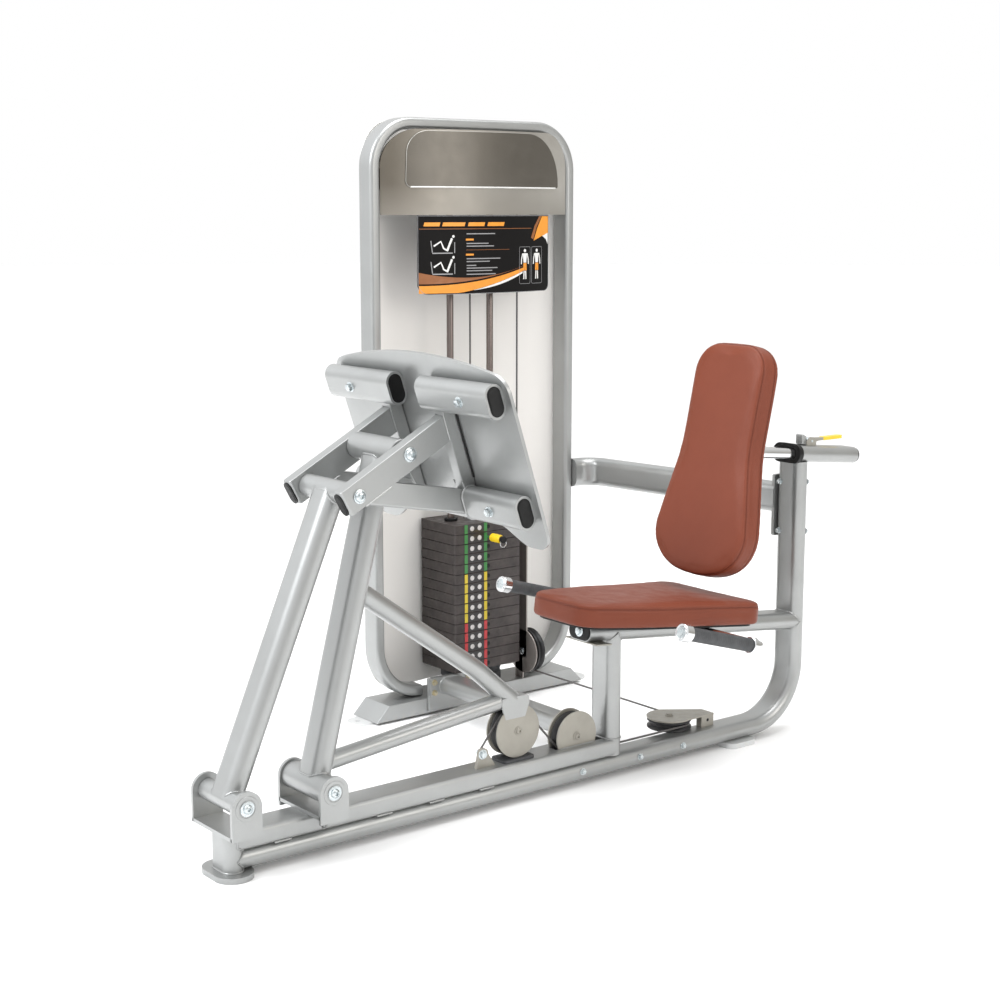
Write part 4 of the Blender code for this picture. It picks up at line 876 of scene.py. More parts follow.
def handles():
    """The grips: ribbed rubber between chrome ends."""
    corners = [(0.0, -0.323), (0.282, -0.323), (0.282, 0.323), (0.0, 0.323)]
    path = filleted(corners, (0, 0.045, 0.045, 0), closed=False, steps=16)
    bar = sweep(path, rounded(0.025, 0.025, 0.01249, 10), handle_place())
    chromed("handle_tube", bar, "frame", ["handle_bar"])
    for side, tag in ((-1, "right"), (1, "left")):
        at = handle_place() @ move(0.0, side * GRIP_OUT, 0.0) @ AXIS_X
        cap = [(0.0, -0.0086), (0.0142, -0.0086), (0.0158, -0.0080), (0.0166, -0.0064), (0.0188, -0.0064)]
        cap += [(0.0199, -0.0052), (0.0200, -0.0030), (0.0200, 0.0155), (0.0190, 0.0170), (0.0140, 0.0180),
                (0.0, 0.0180)]
        chromed("grip_cap_" + tag, turned([(r, z + 0.002) for r, z in cap], at, 64), "frame")
        disc = rod((0, 0, 0), 0.0128, 0.0012, at @ move(z=-0.0069), 48, 0.0004)
        zinced("grip_cap_disc_" + tag, disc, "frame")
        spots = [(0.0130, -0.1005), (0.0153, -0.1005), (0.0160, -0.0990)]
        for k in range(33):
            z = -0.097 + 0.194 * k / 32
            spots += [(0.0160, z - 0.0022), (0.01555, z - 0.0008), (0.01555, z + 0.0008),
                      (0.0160, z + 0.0022)]
        spots += [(0.0160, 0.0992), (0.0153, 0.1005), (0.0130, 0.1005)]
        grip = turned(spots, handle_place() @ move(0.120, side * GRIP_OUT, 0.0) @ AXIS_X, 56, True)
        piece("grip_sleeve_" + tag, grip, "frame", "rubber", ["grip_" + tag])
        ring = ring_part((0, 0, 0), 0.0120, 0.0198, 0.016,
                         handle_place() @ move(0.229, side * GRIP_OUT, 0.0) @ AXIS_X, 56, 0.0016)
        chromed("grip_ring_" + tag, ring, "frame")


def back_place(out):
    normal = Vector((-math.cos(BACK_LEAN), 0.0, math.sin(BACK_LEAN)))
    upward = Vector((math.sin(BACK_LEAN), 0.0, math.cos(BACK_LEAN)))
    across = normal.cross(upward)
    turn = Matrix((upward, across, normal)).transposed().to_4x4()
    return Matrix.Translation(BACK_AT + normal * out) @ turn


def backrest_carrier():
    """The chrome shaft and the plate behind the back pad."""
    way = (SLEEVE_TO - SLEEVE_FROM).normalized()
    start = SLEEVE_FROM - way * 0.2160
    finish = SLEEVE_FROM + way * 0.190
    section = rounded(0.064, 0.027, 0.0134, 10)
    shaft = prism(section, (finish - start).length, along(start, finish))
    chromed("backrest_shaft", shaft, "backrest", ["back_bracket"], 0.0006, 2)
    plate = prism(rounded(0.200, 0.110, 0.012, 6), 0.006, back_place(-BACK_THICK - 0.0033))
    zinced("backrest_plate", plate.copy(), "backrest", (), 0.001)
    ring = section_points(section, along(start, finish) @ move(z=0.06))
    bead("weld_backrest_plate", ring, -way, plate, "backrest")
    board = prism(back_plan(0.016), 0.0026, back_place(-BACK_THICK - 0.0014))
    plastic_piece("backrest_board", board, "backrest", (), 0.0006, 2)
    for index, (up, side) in enumerate(((0.08, -0.04), (0.08, 0.04), (-0.08, -0.04), (-0.08, 0.04))):
        flip = back_place(-BACK_THICK - 0.0063) @ move(up, side, 0) @ Matrix.Rotation(math.pi, 4, "X")
        zinced("backrest_bolt_%d" % index, hex_bolt((0, 0, 0), flip, 0.0062, 0.0045, 0.009), "backrest")


def adjuster():
    """The sleeve on the upright, its collar and its latch."""
    way = (SLEEVE_TO - SLEEVE_FROM).normalized()
    section = rounded(0.083, 0.0420, 0.0209, 12)
    hole = rounded(0.0654, 0.0284, 0.0141, 10)
    length = (SLEEVE_TO - SLEEVE_FROM).length
    tube = prism(section, length, along(SLEEVE_FROM, SLEEVE_TO), [hole])
    painted("sleeve_tube", tube, "frame", ["adjuster_sleeve"], 0.0010, 2)
    end = along(SLEEVE_FROM, SLEEVE_TO) @ move(z=length / 2)
    cap = prism(rounded(0.079, 0.0380, 0.0189, 12), 0.011, end @ move(z=0.0001))
    plastic_piece("sleeve_end_cap", cap, "frame", (), 0.0036, 4)
    start = along(SLEEVE_FROM, SLEEVE_TO) @ move(z=-length / 2)
    collar = prism(rounded(0.096, 0.050, 0.0249, 12), 0.0138, start @ move(z=-0.0070), [hole])
    plastic_piece("sleeve_collar", collar, "frame", ["sleeve_bushing"], 0.003, 4)
    top = SLEEVE_FROM + way * 0.065
    saddle = box((-0.022, -0.012, 0.0), (0.022, 0.012, 0.010),
                 slope(top + Vector((0, 0, 0.0215)), math.atan2(0.024, 0.241)))
    painted("latch_saddle", saddle, "frame", (), 0.002)
    for side, tag in ((-1, "right"), (1, "left")):
        cheek = [(1.706, 0.744), (1.741, 0.741), (1.741, 0.757), (1.735, 0.768), (1.718, 0.770),
                 (1.706, 0.758)]
        solid = prism(filleted(cheek, (0, 0, 0.003, 0.008, 0.008, 0.003)), 0.003,
                      move(y=side * 0.0142) @ ALONG_XZ)
        satin_piece("latch_cheek_" + tag, solid, "frame", (), 0.0006, 2)
    tab = [(1.6930, 0.7520), (1.7150, 0.7500), (1.7165, 0.7560), (1.7060, 0.7730), (1.6985, 0.7780),
           (1.6930, 0.7760)]
    painted("latch_thumb_tab", prism(tab, 0.022, ALONG_XZ), "frame", (), 0.0018)
    knuckle = rod(LEVER_PIVOT, 0.0080, 0.024, AXIS_Y, 40, 0.001)
    pin = rod(LEVER_PIVOT, 0.0035, 0.0350, AXIS_Y, 24, 0.0006)
    zinced("lever_knuckle", [knuckle, pin], "lever")
    outline = [(1.728, 0.7535), (1.750, 0.7535), (1.762, 0.7560), (1.784, 0.7562)]
    outline += [(1.784, 0.7636), (1.762, 0.7640), (1.746, 0.7650), (1.728, 0.7650)]
    satin_piece("lever_shank", prism(outline, 0.014, ALONG_XZ), "lever", (), 0.001)
    handle = prism(rounded(0.076, 0.020, 0.0085, 8), 0.0084, move(1.8155, 0.0, 0.7600))
    piece("lever_handle", handle, "lever", "yellow", ["adjuster_lever"], 0.0030, 4)


# ---------------------------------------------------------------- press arms
def tube_between(foot, head, section):
    return sweep([(foot.x, foot.z), (head.x, head.z)], section)


def arm_place(foot, head, share):
    way = (head - foot).normalized()
    at = foot.lerp(head, share)
    across = Vector((0, 1, 0))
    side = across.cross(way)
    turn = Matrix((side, across, way)).transposed().to_4x4()
    return Matrix.Translation(at) @ turn, way


def pivot_tube(name, centre, radius, half, body, inner):
    tube = ring_part(centre, inner, radius, 2 * half, AXIS_Y, 64, 0.0012)
    painted(name, tube.copy(), body)
    return tube


def front_arm():
    """The front press arm and its hubs."""
    section = rounded(0.050, 0.080, 0.0249, 14)
    arm = tube_between(FRONT_PIVOT, FRONT_HEAD, section)
    hole = [rod(FRONT_PIVOT, 0.0205, 0.2, AXIS_Y, 48), rod(FRONT_HEAD, 0.0220, 0.2, AXIS_Y, 48)]
    painted("front_arm_tube", apply_boolean(arm, hole), "front_arm", ["front_arm"])
    low = pivot_tube("front_arm_pivot", FRONT_PIVOT, 0.0225, 0.0765, "front_arm", 0.0098)
    top = pivot_tube("front_arm_head", FRONT_HEAD, 0.0240, 0.0820, "front_arm", 0.0136)
    place, way = arm_place(FRONT_PIVOT, FRONT_HEAD, 0.2)
    bead("weld_front_arm_foot", section_points(section, place), -way, low, "front_arm")
    place, way = arm_place(FRONT_PIVOT, FRONT_HEAD, 0.8)
    bead("weld_front_arm_head", section_points(section, place), way, top, "front_arm")


def rear_arm():
    """The rear press arm and its hubs."""
    section = rounded(0.050, 0.080, 0.0249, 14)
    arm = tube_between(REAR_PIVOT, REAR_HEAD, section)
    whole = arm.copy()
    hole = [rod(REAR_PIVOT, 0.0280, 0.2, AXIS_Y, 48), rod(REAR_HEAD, 0.0270, 0.2, AXIS_Y, 48)]
    painted("rear_arm_tube", apply_boolean(arm, hole), "rear_arm", ["rear_arm"])
    low = pivot_tube("rear_arm_pivot", REAR_PIVOT, 0.0300, 0.0765, "rear_arm", 0.0098)
    top = pivot_tube("rear_arm_head", REAR_HEAD, 0.0290, 0.0820, "rear_arm", 0.0098)
    place, way = arm_place(REAR_PIVOT, REAR_HEAD, 0.2)
    bead("weld_rear_arm_foot", section_points(section, place), -way, low, "rear_arm")
    place, way = arm_place(REAR_PIVOT, REAR_HEAD, 0.8)
    bead("weld_rear_arm_head", section_points(section, place), way, top, "rear_arm")
    struts(whole)


def struts(arm):
    """The two struts from the rear arm to the lever."""
    corners = [(0.305, 0.5675), (0.640, 0.329), (0.720, 0.2590), (0.748, 0.236)]
    upper = filleted(corners, (0, 0.30, 0.10, 0), closed=False, steps=14)
    section = rounded(0.044, 0.044, 0.02190, 14)
    cutter = box((0.7060, -0.05, 0.10), (0.85, 0.05, 0.2440))
    tube = apply_boolean(sweep(upper, section), [cutter])
    painted("strut_upper", tube, "rear_arm", (), 0.0006, 2)
    low = [(0.225, 0.1895), (0.7060, 0.2400)]
    section_low = rounded(0.039, 0.040, 0.0194, 12)
    painted("strut_lower", sweep(low, section_low), "rear_arm")
    start, finish = Vector((0.305, 0, 0.5675)), Vector((0.640, 0, 0.329))
    place, way = arm_place(start, finish, 0.4)
    bead("weld_strut_upper", section_points(section, place), -way, arm, "rear_arm")
    start, finish = Vector((0.225, 0, 0.1895)), Vector((0.7060, 0, 0.2400))
    place, way = arm_place(start, finish, 0.4)
    bead("weld_strut_lower", section_points(section_low, place), -way, arm, "rear_arm")


def guard_disc(name, centre, matrix, radius, thick, body, look="disc", nodes=()):
    half = thick / 2
    outline = [(0, half), (radius - 0.0016, half), (radius - 0.0004, half - 0.0005), (radius, half - 0.0014)]
    outline += [(radius, -half + 0.0014), (radius - 0.0004, -half + 0.0005), (radius - 0.0016, -half),
                (0, -half)]
    return piece(name, turned(outline, Matrix.Translation(centre) @ matrix, 96), body, look, nodes)


def lever_bracket():
    """The lug and guard discs that hold the lever pulley."""
    centre = LEVER_PULLEY[0]
    for side, tag in ((-1, "right"), (1, "left")):
        nodes = ["lever_bracket"] if side < 0 else ()
        guard_disc("lever_guard_" + tag, centre + Vector((0, side * 0.0183, 0)), AXIS_Y, 0.0625, 0.004,
                   "rear_arm", nodes=nodes)
        lug = [(0.7030, 0.2505), (0.7030, 0.2340), (0.7130, 0.2000), (0.7700, 0.2000), (0.7830, 0.2330),
               (0.7800, 0.2505)]
        plate = prism(filleted(lug, (0.002, 0.01, 0, 0, 0.02, 0.006)), 0.0042,
                      move(y=side * 0.0184) @ ALONG_XZ)
        painted("lever_lug_" + tag, plate, "rear_arm", (), 0.001)
        turn = AXIS_Y if side < 0 else TO_PLUS_Y
        bolt = dome_bolt(centre + Vector((0, side * 0.0203, 0)), turn, 0.0080, 0.0042, 0.0110)
        piece("lever_axle_" + tag, bolt, "rear_arm", "disc")
    bridge = box((0.702, -0.0190, 0.2360), (0.780, 0.0190, 0.2505))
    painted("lever_bridge", bridge, "rear_arm", (), 0.003)


# ---------------------------------------------------------------- carriage
def press_frame(up, depth):
    upward = Vector((-math.sin(PLATE_LEAN), math.cos(PLATE_LEAN)))
    behind = Vector((-math.cos(PLATE_LEAN), -math.sin(PLATE_LEAN)))
    point = Vector((PLATE_AT.x, PLATE_AT.z)) + upward * up + behind * depth
    return (point.x, point.y)


def plate_place(depth):
    across = Vector((0.0, 1.0, 0.0))
    upward = Vector((-math.sin(PLATE_LEAN), 0.0, math.cos(PLATE_LEAN)))
    normal = across.cross(upward)
    turn = Matrix((across, upward, normal)).transposed().to_4x4()
    return Matrix.Translation(PLATE_AT - normal * depth) @ turn


def side_lines():
    lean = math.radians(28.4)
    way = Vector((math.cos(lean), math.sin(lean)))
    off = Vector((-way.y, way.x)) * 0.0290
    cap = Vector((0.2285, 0.7595))
    return lean, way, off, cap


def carriage_side(side, tag):
    """One side of the press carriage: a beam, a strut and a member along the plate, welded up."""
    lean, way, off, cap = side_lines()
    top = cap + off
    low = cap - off
    middle = side * (SIDE_IN + SIDE_OUT) / 2
    wide = SIDE_OUT - SIDE_IN
    member = [press_frame(0.0, PLATE_THICK + 0.0008), press_frame(-0.006, 0.0425)]
    member += [press_frame(-0.215, 0.0425), press_frame(-0.250, PLATE_THICK + 0.0008)]
    beam = [tuple(top), tuple(low), tuple(low + way * 0.292), tuple(top + way * 0.297)]
    strut = [(0.2770, 0.7555), (0.5490, 0.7060), press_frame(-0.266, PLATE_THICK + 0.0016)]
    strut += [press_frame(-0.2175, PLATE_THICK + 0.0016), (0.2863, 0.8067)]
    name = "carriage_side_" + tag
    for part, outline, thin, nodes in (("member", member, 0.0, [name]), ("beam", beam, 0.0010, ()),
                                       ("strut", strut, 0.0020, ())):
        solid = prism(outline, wide - thin, move(y=middle) @ ALONG_XZ)
        painted("press_" + part + "_" + tag, solid, "carriage", nodes, 0.0060, 5, 40)
    turn = Matrix.Translation((cap.x, middle, cap.y)) @ Matrix.Rotation(-lean, 4, "Y") @ TO_MINUS_X
    cap_place = turn @ move(z=0.0005)
    rim = prism(stadium(0.0520, 0.0250), 0.0030, cap_place @ move(z=0.0008))
    core = prism(stadium(0.0440, 0.0170), 0.0016, cap_place @ move(z=0.0022))
    plastic_piece("press_side_cap_" + tag, [rim, core], "carriage", (), 0.0007, 2)
    joints = [[tuple(low + way * 0.040), tuple(low + way * 0.112)],
              [press_frame(-0.030, 0.0430), press_frame(-0.086, 0.0430)]]
    joints += [[press_frame(-0.182, 0.0430), press_frame(-0.236, 0.0300)]]
    for index, (start, end) in enumerate(joints):
        for face, out in (("outer", SIDE_OUT - 0.0006), ("inner", SIDE_IN + 0.0006)):
            points = []
            for step in range(25):
                spot = Vector(start).lerp(Vector(end), step / 24)
                points.append((spot.x, side * out, spot.y + 0.0004 * math.sin(step * 2.1)))
            weld = wire(points, 0.0019, False, 3)
            painted("press_weld_%d_%s_%s" % (index, face, tag), weld, "carriage")


def carriage_bolts():
    """The dome bolts and the pins of all four pivots."""
    for side, tag in ((-1, "right"), (1, "left")):
        turn = AXIS_Y if side < 0 else TO_PLUS_Y
        y = side * SIDE_OUT
        rear = dome_bolt(Vector((REAR_HEAD.x, y, REAR_HEAD.z)), turn, 0.0125, 0.0070, 0.0160)
        nodes = ["carriage_rear_pin"] if side < 0 else ()
        zinced("press_bolt_rear_" + tag, rear, "carriage", nodes)
        front = dome_bolt(Vector((FRONT_HEAD.x, y, FRONT_HEAD.z)), turn, 0.0120, 0.0068, 0.0150)
        nodes = ["carriage_front_pin"] if side < 0 else ()
        zinced("press_bolt_front_" + tag, front, "carriage", nodes)
    for point, shaft, tag in ((REAR_HEAD, 0.0085, "rear"), (FRONT_HEAD, 0.0065, "front")):
        bar = rod(point, shaft, 2 * SIDE_OUT + 0.0006, AXIS_Y, 32)
        chromed("press_pin_" + tag, bar, "carriage")
    for point, tag in ((REAR_PIVOT, "rear"), (FRONT_PIVOT, "front")):
        chromed("base_pin_" + tag, rod(point, 0.0090, 0.1700, AXIS_Y, 32), "frame")


def cross_tubes():
    """The four tubes behind the foot plate."""
    depth = PLATE_THICK + 0.0003 + 0.0225
    section = rounded(0.0450, 0.0750, 0.02245, 14)
    turn = Matrix.Rotation(math.radians(90), 4, "Y")
    for up, inner, row in ((CROSS_UP, 0.0515, "upper"), (CROSS_DOWN, SIDE_OUT - 0.002, "lower")):
        for side, tag in ((-1, "right"), (1, "left")):
            start, end = side * inner, side * 0.294
            place = plate_place(depth) @ move((start + end) / 2, up, 0.0) @ turn
            solid = prism(section, abs(end - start), place)
            node = "plate_tube_" + row + "_" + tag
            painted("press_tube_" + row + "_" + tag, solid, "carriage", [node], 0.0012, 3)
            out = plate_place(depth) @ move(end, up, 0.0) @ (turn if side > 0 else TO_MINUS_X)
            end_cap("press_cap_" + row + "_" + tag, out, 0.0345, 0.0645, "carriage")
            if row == "upper":
                back = TO_MINUS_X if side > 0 else turn
                inside = plate_place(depth) @ move(start, up, 0.0) @ back
                end_cap("press_inner_cap_" + tag, inside, 0.0345, 0.0645, "carriage")
            if row == "lower":
                ring = section_points(section, plate_place(depth) @ move(side * 0.16, up, 0.0) @ turn)
                flat = box((0.2, side * SIDE_OUT - 0.001, 0.5), (0.8, side * SIDE_OUT + 0.001, 1.1))
                bead("weld_tube_lower_" + tag, ring, (0, -side, 0), flat, "carriage")
            spot = plate_place(PLATE_THICK + 0.0453) @ move(side * 0.2, up, 0.0) @ Matrix.Rotation(math.pi,
                                                                                                   4, "Y")
            bolt = hex_bolt((0, 0, 0), spot @ move(z=-0.0008), 0.0088, 0.0075, 0.0120)
            zinced("plate_bolt_" + row + "_" + tag, bolt, "carriage")


def foot_plate():
    """The steel foot plate and its textured tread."""
    crown, half, low = 0.091, 0.3135, -0.331
    top = []
    for step in range(49):
        across = 0.262 * (1 - step / 24)
        top.append((across, crown - 0.378 * across**2))
    shoulder = crown - 0.378 * half**2
    corners = [(half, shoulder), *top, (-half, shoulder), (-half, low), (-0.235, low), (-0.170, -0.292)]
    corners += [(0.170, -0.292), (0.235, low), (half, low)]
    radii = [0.045, *[0] * len(top), 0.045, 0.036, 0.060, 0.055, 0.055, 0.060, 0.036]
    whole = filleted(corners, radii, steps=14)
    solid = prism(whole, PLATE_THICK - 0.0030, plate_place((PLATE_THICK + 0.0030) / 2 + 0.0001))
    painted("foot_plate_steel", solid, "carriage", ["foot_plate"], 0.0018)
    centre = Vector((0.0, -0.12))
    inset = []
    for point in whole:
        away = Vector(point) - centre
        inset.append(tuple(centre + away * (1 - 0.004 / away.length)))
    tread = prism(inset, 0.0030, plate_place(0.0016))
    piece("foot_plate_tread", tread, "carriage", "tread", (), 0.0008, 2)


def plate_gap_shadows():
    # painted shadow: black cords laid in the corner between the plate's back and each side member, where the
    # gap between them reads dark
    for side, tag in ((-1, "right"), (1, "left")):
        y = side * (SIDE_OUT + 0.0015)
        low = plate_place(PLATE_THICK + 0.002) @ Vector((y, -0.185, 0.0))
        high = plate_place(PLATE_THICK + 0.002) @ Vector((y, -0.030, 0.0))
        points = [low.lerp(high, k / 10) for k in range(11)]
        plastic_piece("plate_gap_shadow_" + tag, wire(points, 0.0022, False, 3), "carriage")


# ---------------------------------------------------------------- weight tower
def bow(half_x, outer, inner, centre_x=TOWER_X, steps=36):
    middle = (TOWER_X, BOW_FRONT + BOW_RADIUS)
    shift = centre_x - TOWER_X
    left = math.asin((-half_x + shift) / outer)
    right = math.asin((half_x + shift) / outer)
    points = []
    for radius, ends in ((outer, (left, right)), (inner, (right, left))):
        for step in range(steps + 1):
            turn = ends[0] + (ends[1] - ends[0]) * step / steps
            points.append((middle[0] + radius * math.sin(turn), middle[1] - radius * math.cos(turn)))
    return points


def bowed(face, outer, inner, half, centre_x=TOWER_X):
    """A sheet bowed forward, cut to a face outline given as (x, z)."""
    plan = bow(half, outer, inner, centre_x)
    cutter = prism(face, 0.30, move(0, 0.67, 0) @ ALONG_XZ)
    low = min(p[1] for p in face) - 0.01
    high = max(p[1] for p in face) + 0.01
    return apply_boolean(prism(plan, high - low, move(z=(low + high) / 2)), [cutter], "INTERSECT")


def loop_path(grow=0.0):
    left = TOWER_X - LOOP_HALF - grow
    right = TOWER_X + LOOP_HALF + grow
    top_bend = 0.115 + grow
    low_bend = 0.135 + grow
    top = LOOP_TOP + grow
    points = arc((left + low_bend, LOOP_LOW + low_bend), low_bend, 270, 180, 22)
    points += arc((left + top_bend, top - top_bend), top_bend, 180, 90, 22)
    points += arc((right - top_bend, top - top_bend), top_bend, 90, 0, 22)
    points += arc((right - low_bend, LOOP_LOW + low_bend), low_bend, 0, -90, 22)
    return points


def tower_frame():
    """The tower loop and its base bar."""
    section = rounded(0.030, 0.060, 0.010, 8)
    painted("tower_loop_tube", sweep(loop_path(), section, move(y=TOWER_Y) @ ALONG_XZ), "frame",
            ["tower_loop"])
    outline = [(0.825, 0.006), (1.541, 0.006), (1.500, BASE_TOP), (0.866, BASE_TOP)]
    bar = prism(outline, 0.115, move(y=0.7275) @ ALONG_XZ)
    painted("tower_base_bar", bar, "frame", ["tower_base"], 0.0022)
    for side, tag in ((-1, "left_end"), (1, "right_end")):
        at = move(TOWER_X + side * 0.360, 0.7275, 0.003)
        tab = prism(rounded(0.090, 0.070, 0.030, 10), 0.006, at,
                    [arc((side * 0.020, 0.0), 0.0065, 0, 350, 24)])
        piece("tower_tab_" + tag, tab, "frame", "white_paint", (), 0.0012)
    face = box((0.990, 0.6630, 0.012), (1.130, 0.6720, 0.103))
    stub = box((1.010, 0.6700, 0.040), (1.110, 0.6850, 0.100))
    painted("tower_base_flange", face, "frame", (), 0.0012)
    painted("tower_base_stub", stub, "frame", (), 0.0012)


def header():
    """The bowed header sheet with a plain name board on it."""
    high = LOOP_TOP - 0.0156
    half = LOOP_HALF - 0.0156
    low = HEADER_FOOT
    corners = [(TOWER_X - half, low), (TOWER_X + half, low), (TOWER_X + half, high), (TOWER_X - half, high)]
    face = filleted(corners, (0.004, 0.004, 0.098, 0.098), steps=20)
    shell = bowed(face, BOW_RADIUS, BOW_RADIUS - 0.004, half)
    piece("header_sheet", shell, "frame", "header", ["header_shroud"], 0.0010, 2)
    corners = [(TOWER_X - 0.246, NAME_FOOT), (TOWER_X + 0.264, NAME_FOOT), (TOWER_X + 0.262, NAME_HEAD),
               (TOWER_X - 0.240, NAME_HEAD)]
    radii = (0.016, 0.006, 0.130, 0.056)
    face = filleted(corners, radii, steps=16)
    plate = bowed(face, BOW_RADIUS + 0.0043, BOW_RADIUS + 0.0003, 0.2645)
    piece("name_board", plate, "frame", "name", ["name_plate"], 0.0016, 3)
    rim = []
    for x, z in face:
        rim.append(on_bow(x, z, BOW_RADIUS + 0.0022))
    dense = []
    for here, after in zip(rim, rim[1:] + rim[:1]):
        parts = max(1, int((after - here).length / 0.012))
        for part in range(parts):
            spot = here.lerp(after, part / parts)
            dense.append(on_bow(spot.x, spot.z, BOW_RADIUS + 0.0022))
    piece("name_board_rim", wire(dense, 0.0013, True, 4), "frame", "rim")
    lip = []
    for step in range(49):
        x = TOWER_X - 0.234 + 0.486 * step / 48
        lip.append(on_bow(x, 1.4062, BOW_RADIUS + 0.0030))
    piece("name_board_lip", wire(lip, 0.0022, False, 4), "frame", "lip")


def on_bow(x, z, radius):
    turn = math.asin((x - TOWER_X) / radius)
    return Vector((x, BOW_FRONT + BOW_RADIUS - radius * math.cos(turn), z))


def tiles(name, polygons, radius, look, thick=0.00025):
    """Flat shapes given as (x, z) laid on the bowed sheet as one thin printed layer."""
    work = bmesh.new()
    for polygon in polygons:
        clean = distinct(polygon)
        dense = []
        for here, after in zip(clean, clean[1:] + clean[:1]):
            parts = max(1, int(math.dist(here, after) / 0.010))
            for part in range(parts):
                share = part / parts
                dense.append((here[0] + (after[0] - here[0]) * share,
                              here[1] + (after[1] - here[1]) * share))
        verts = [work.verts.new((x, 0.0, z)) for x, z in dense]
        work.faces.new(verts)
    bmesh.ops.triangulate(work, faces=work.faces, ngon_method="EAR_CLIP")
    for cut_x in [0.90 + 0.02 * k for k in range(30)]:
        geometry = list(work.verts) + list(work.edges) + list(work.faces)
        bmesh.ops.bisect_plane(work, geom=geometry, plane_co=(cut_x, 0, 0), plane_no=(1, 0, 0))
    bmesh.ops.remove_doubles(work, verts=work.verts, dist=0.00002)
    for vert in work.verts:
        vert.co = on_bow(vert.co.x, vert.co.z, radius)
    solid = bmesh.ops.extrude_face_region(work, geom=list(work.faces))
    moved = [g for g in solid["geom"] if isinstance(g, bmesh.types.BMVert)]
    for vert in moved:
        vert.co.y -= thick
    return piece(name, mesh_of(work), "frame", look, angle=40)


def thick_line(points, width):
    """The outline of a stroke of constant width along a polyline, in (x, z)."""
    left, right = [], []
    for index, point in enumerate(points):
        before = Vector(points[max(0, index - 1)])
        after = Vector(points[min(len(points) - 1, index + 1)])
        way = (after - before).normalized()
        side = Vector((-way.y, way.x)) * width / 2
        left.append(tuple(Vector(point) + side))
        right.append(tuple(Vector(point) - side))
    return left + right[::-1]


def band(points_low, points_high):
    return list(points_low) + list(points_high)[::-1]


def sag(x, left, right, at_left, at_right, deep):
    """A smooth curve from left to right that sags below its chord."""
    share = (x - left) / (right - left)
    return at_left + (at_right - at_left) * share - deep * 4 * share * (1 - share)


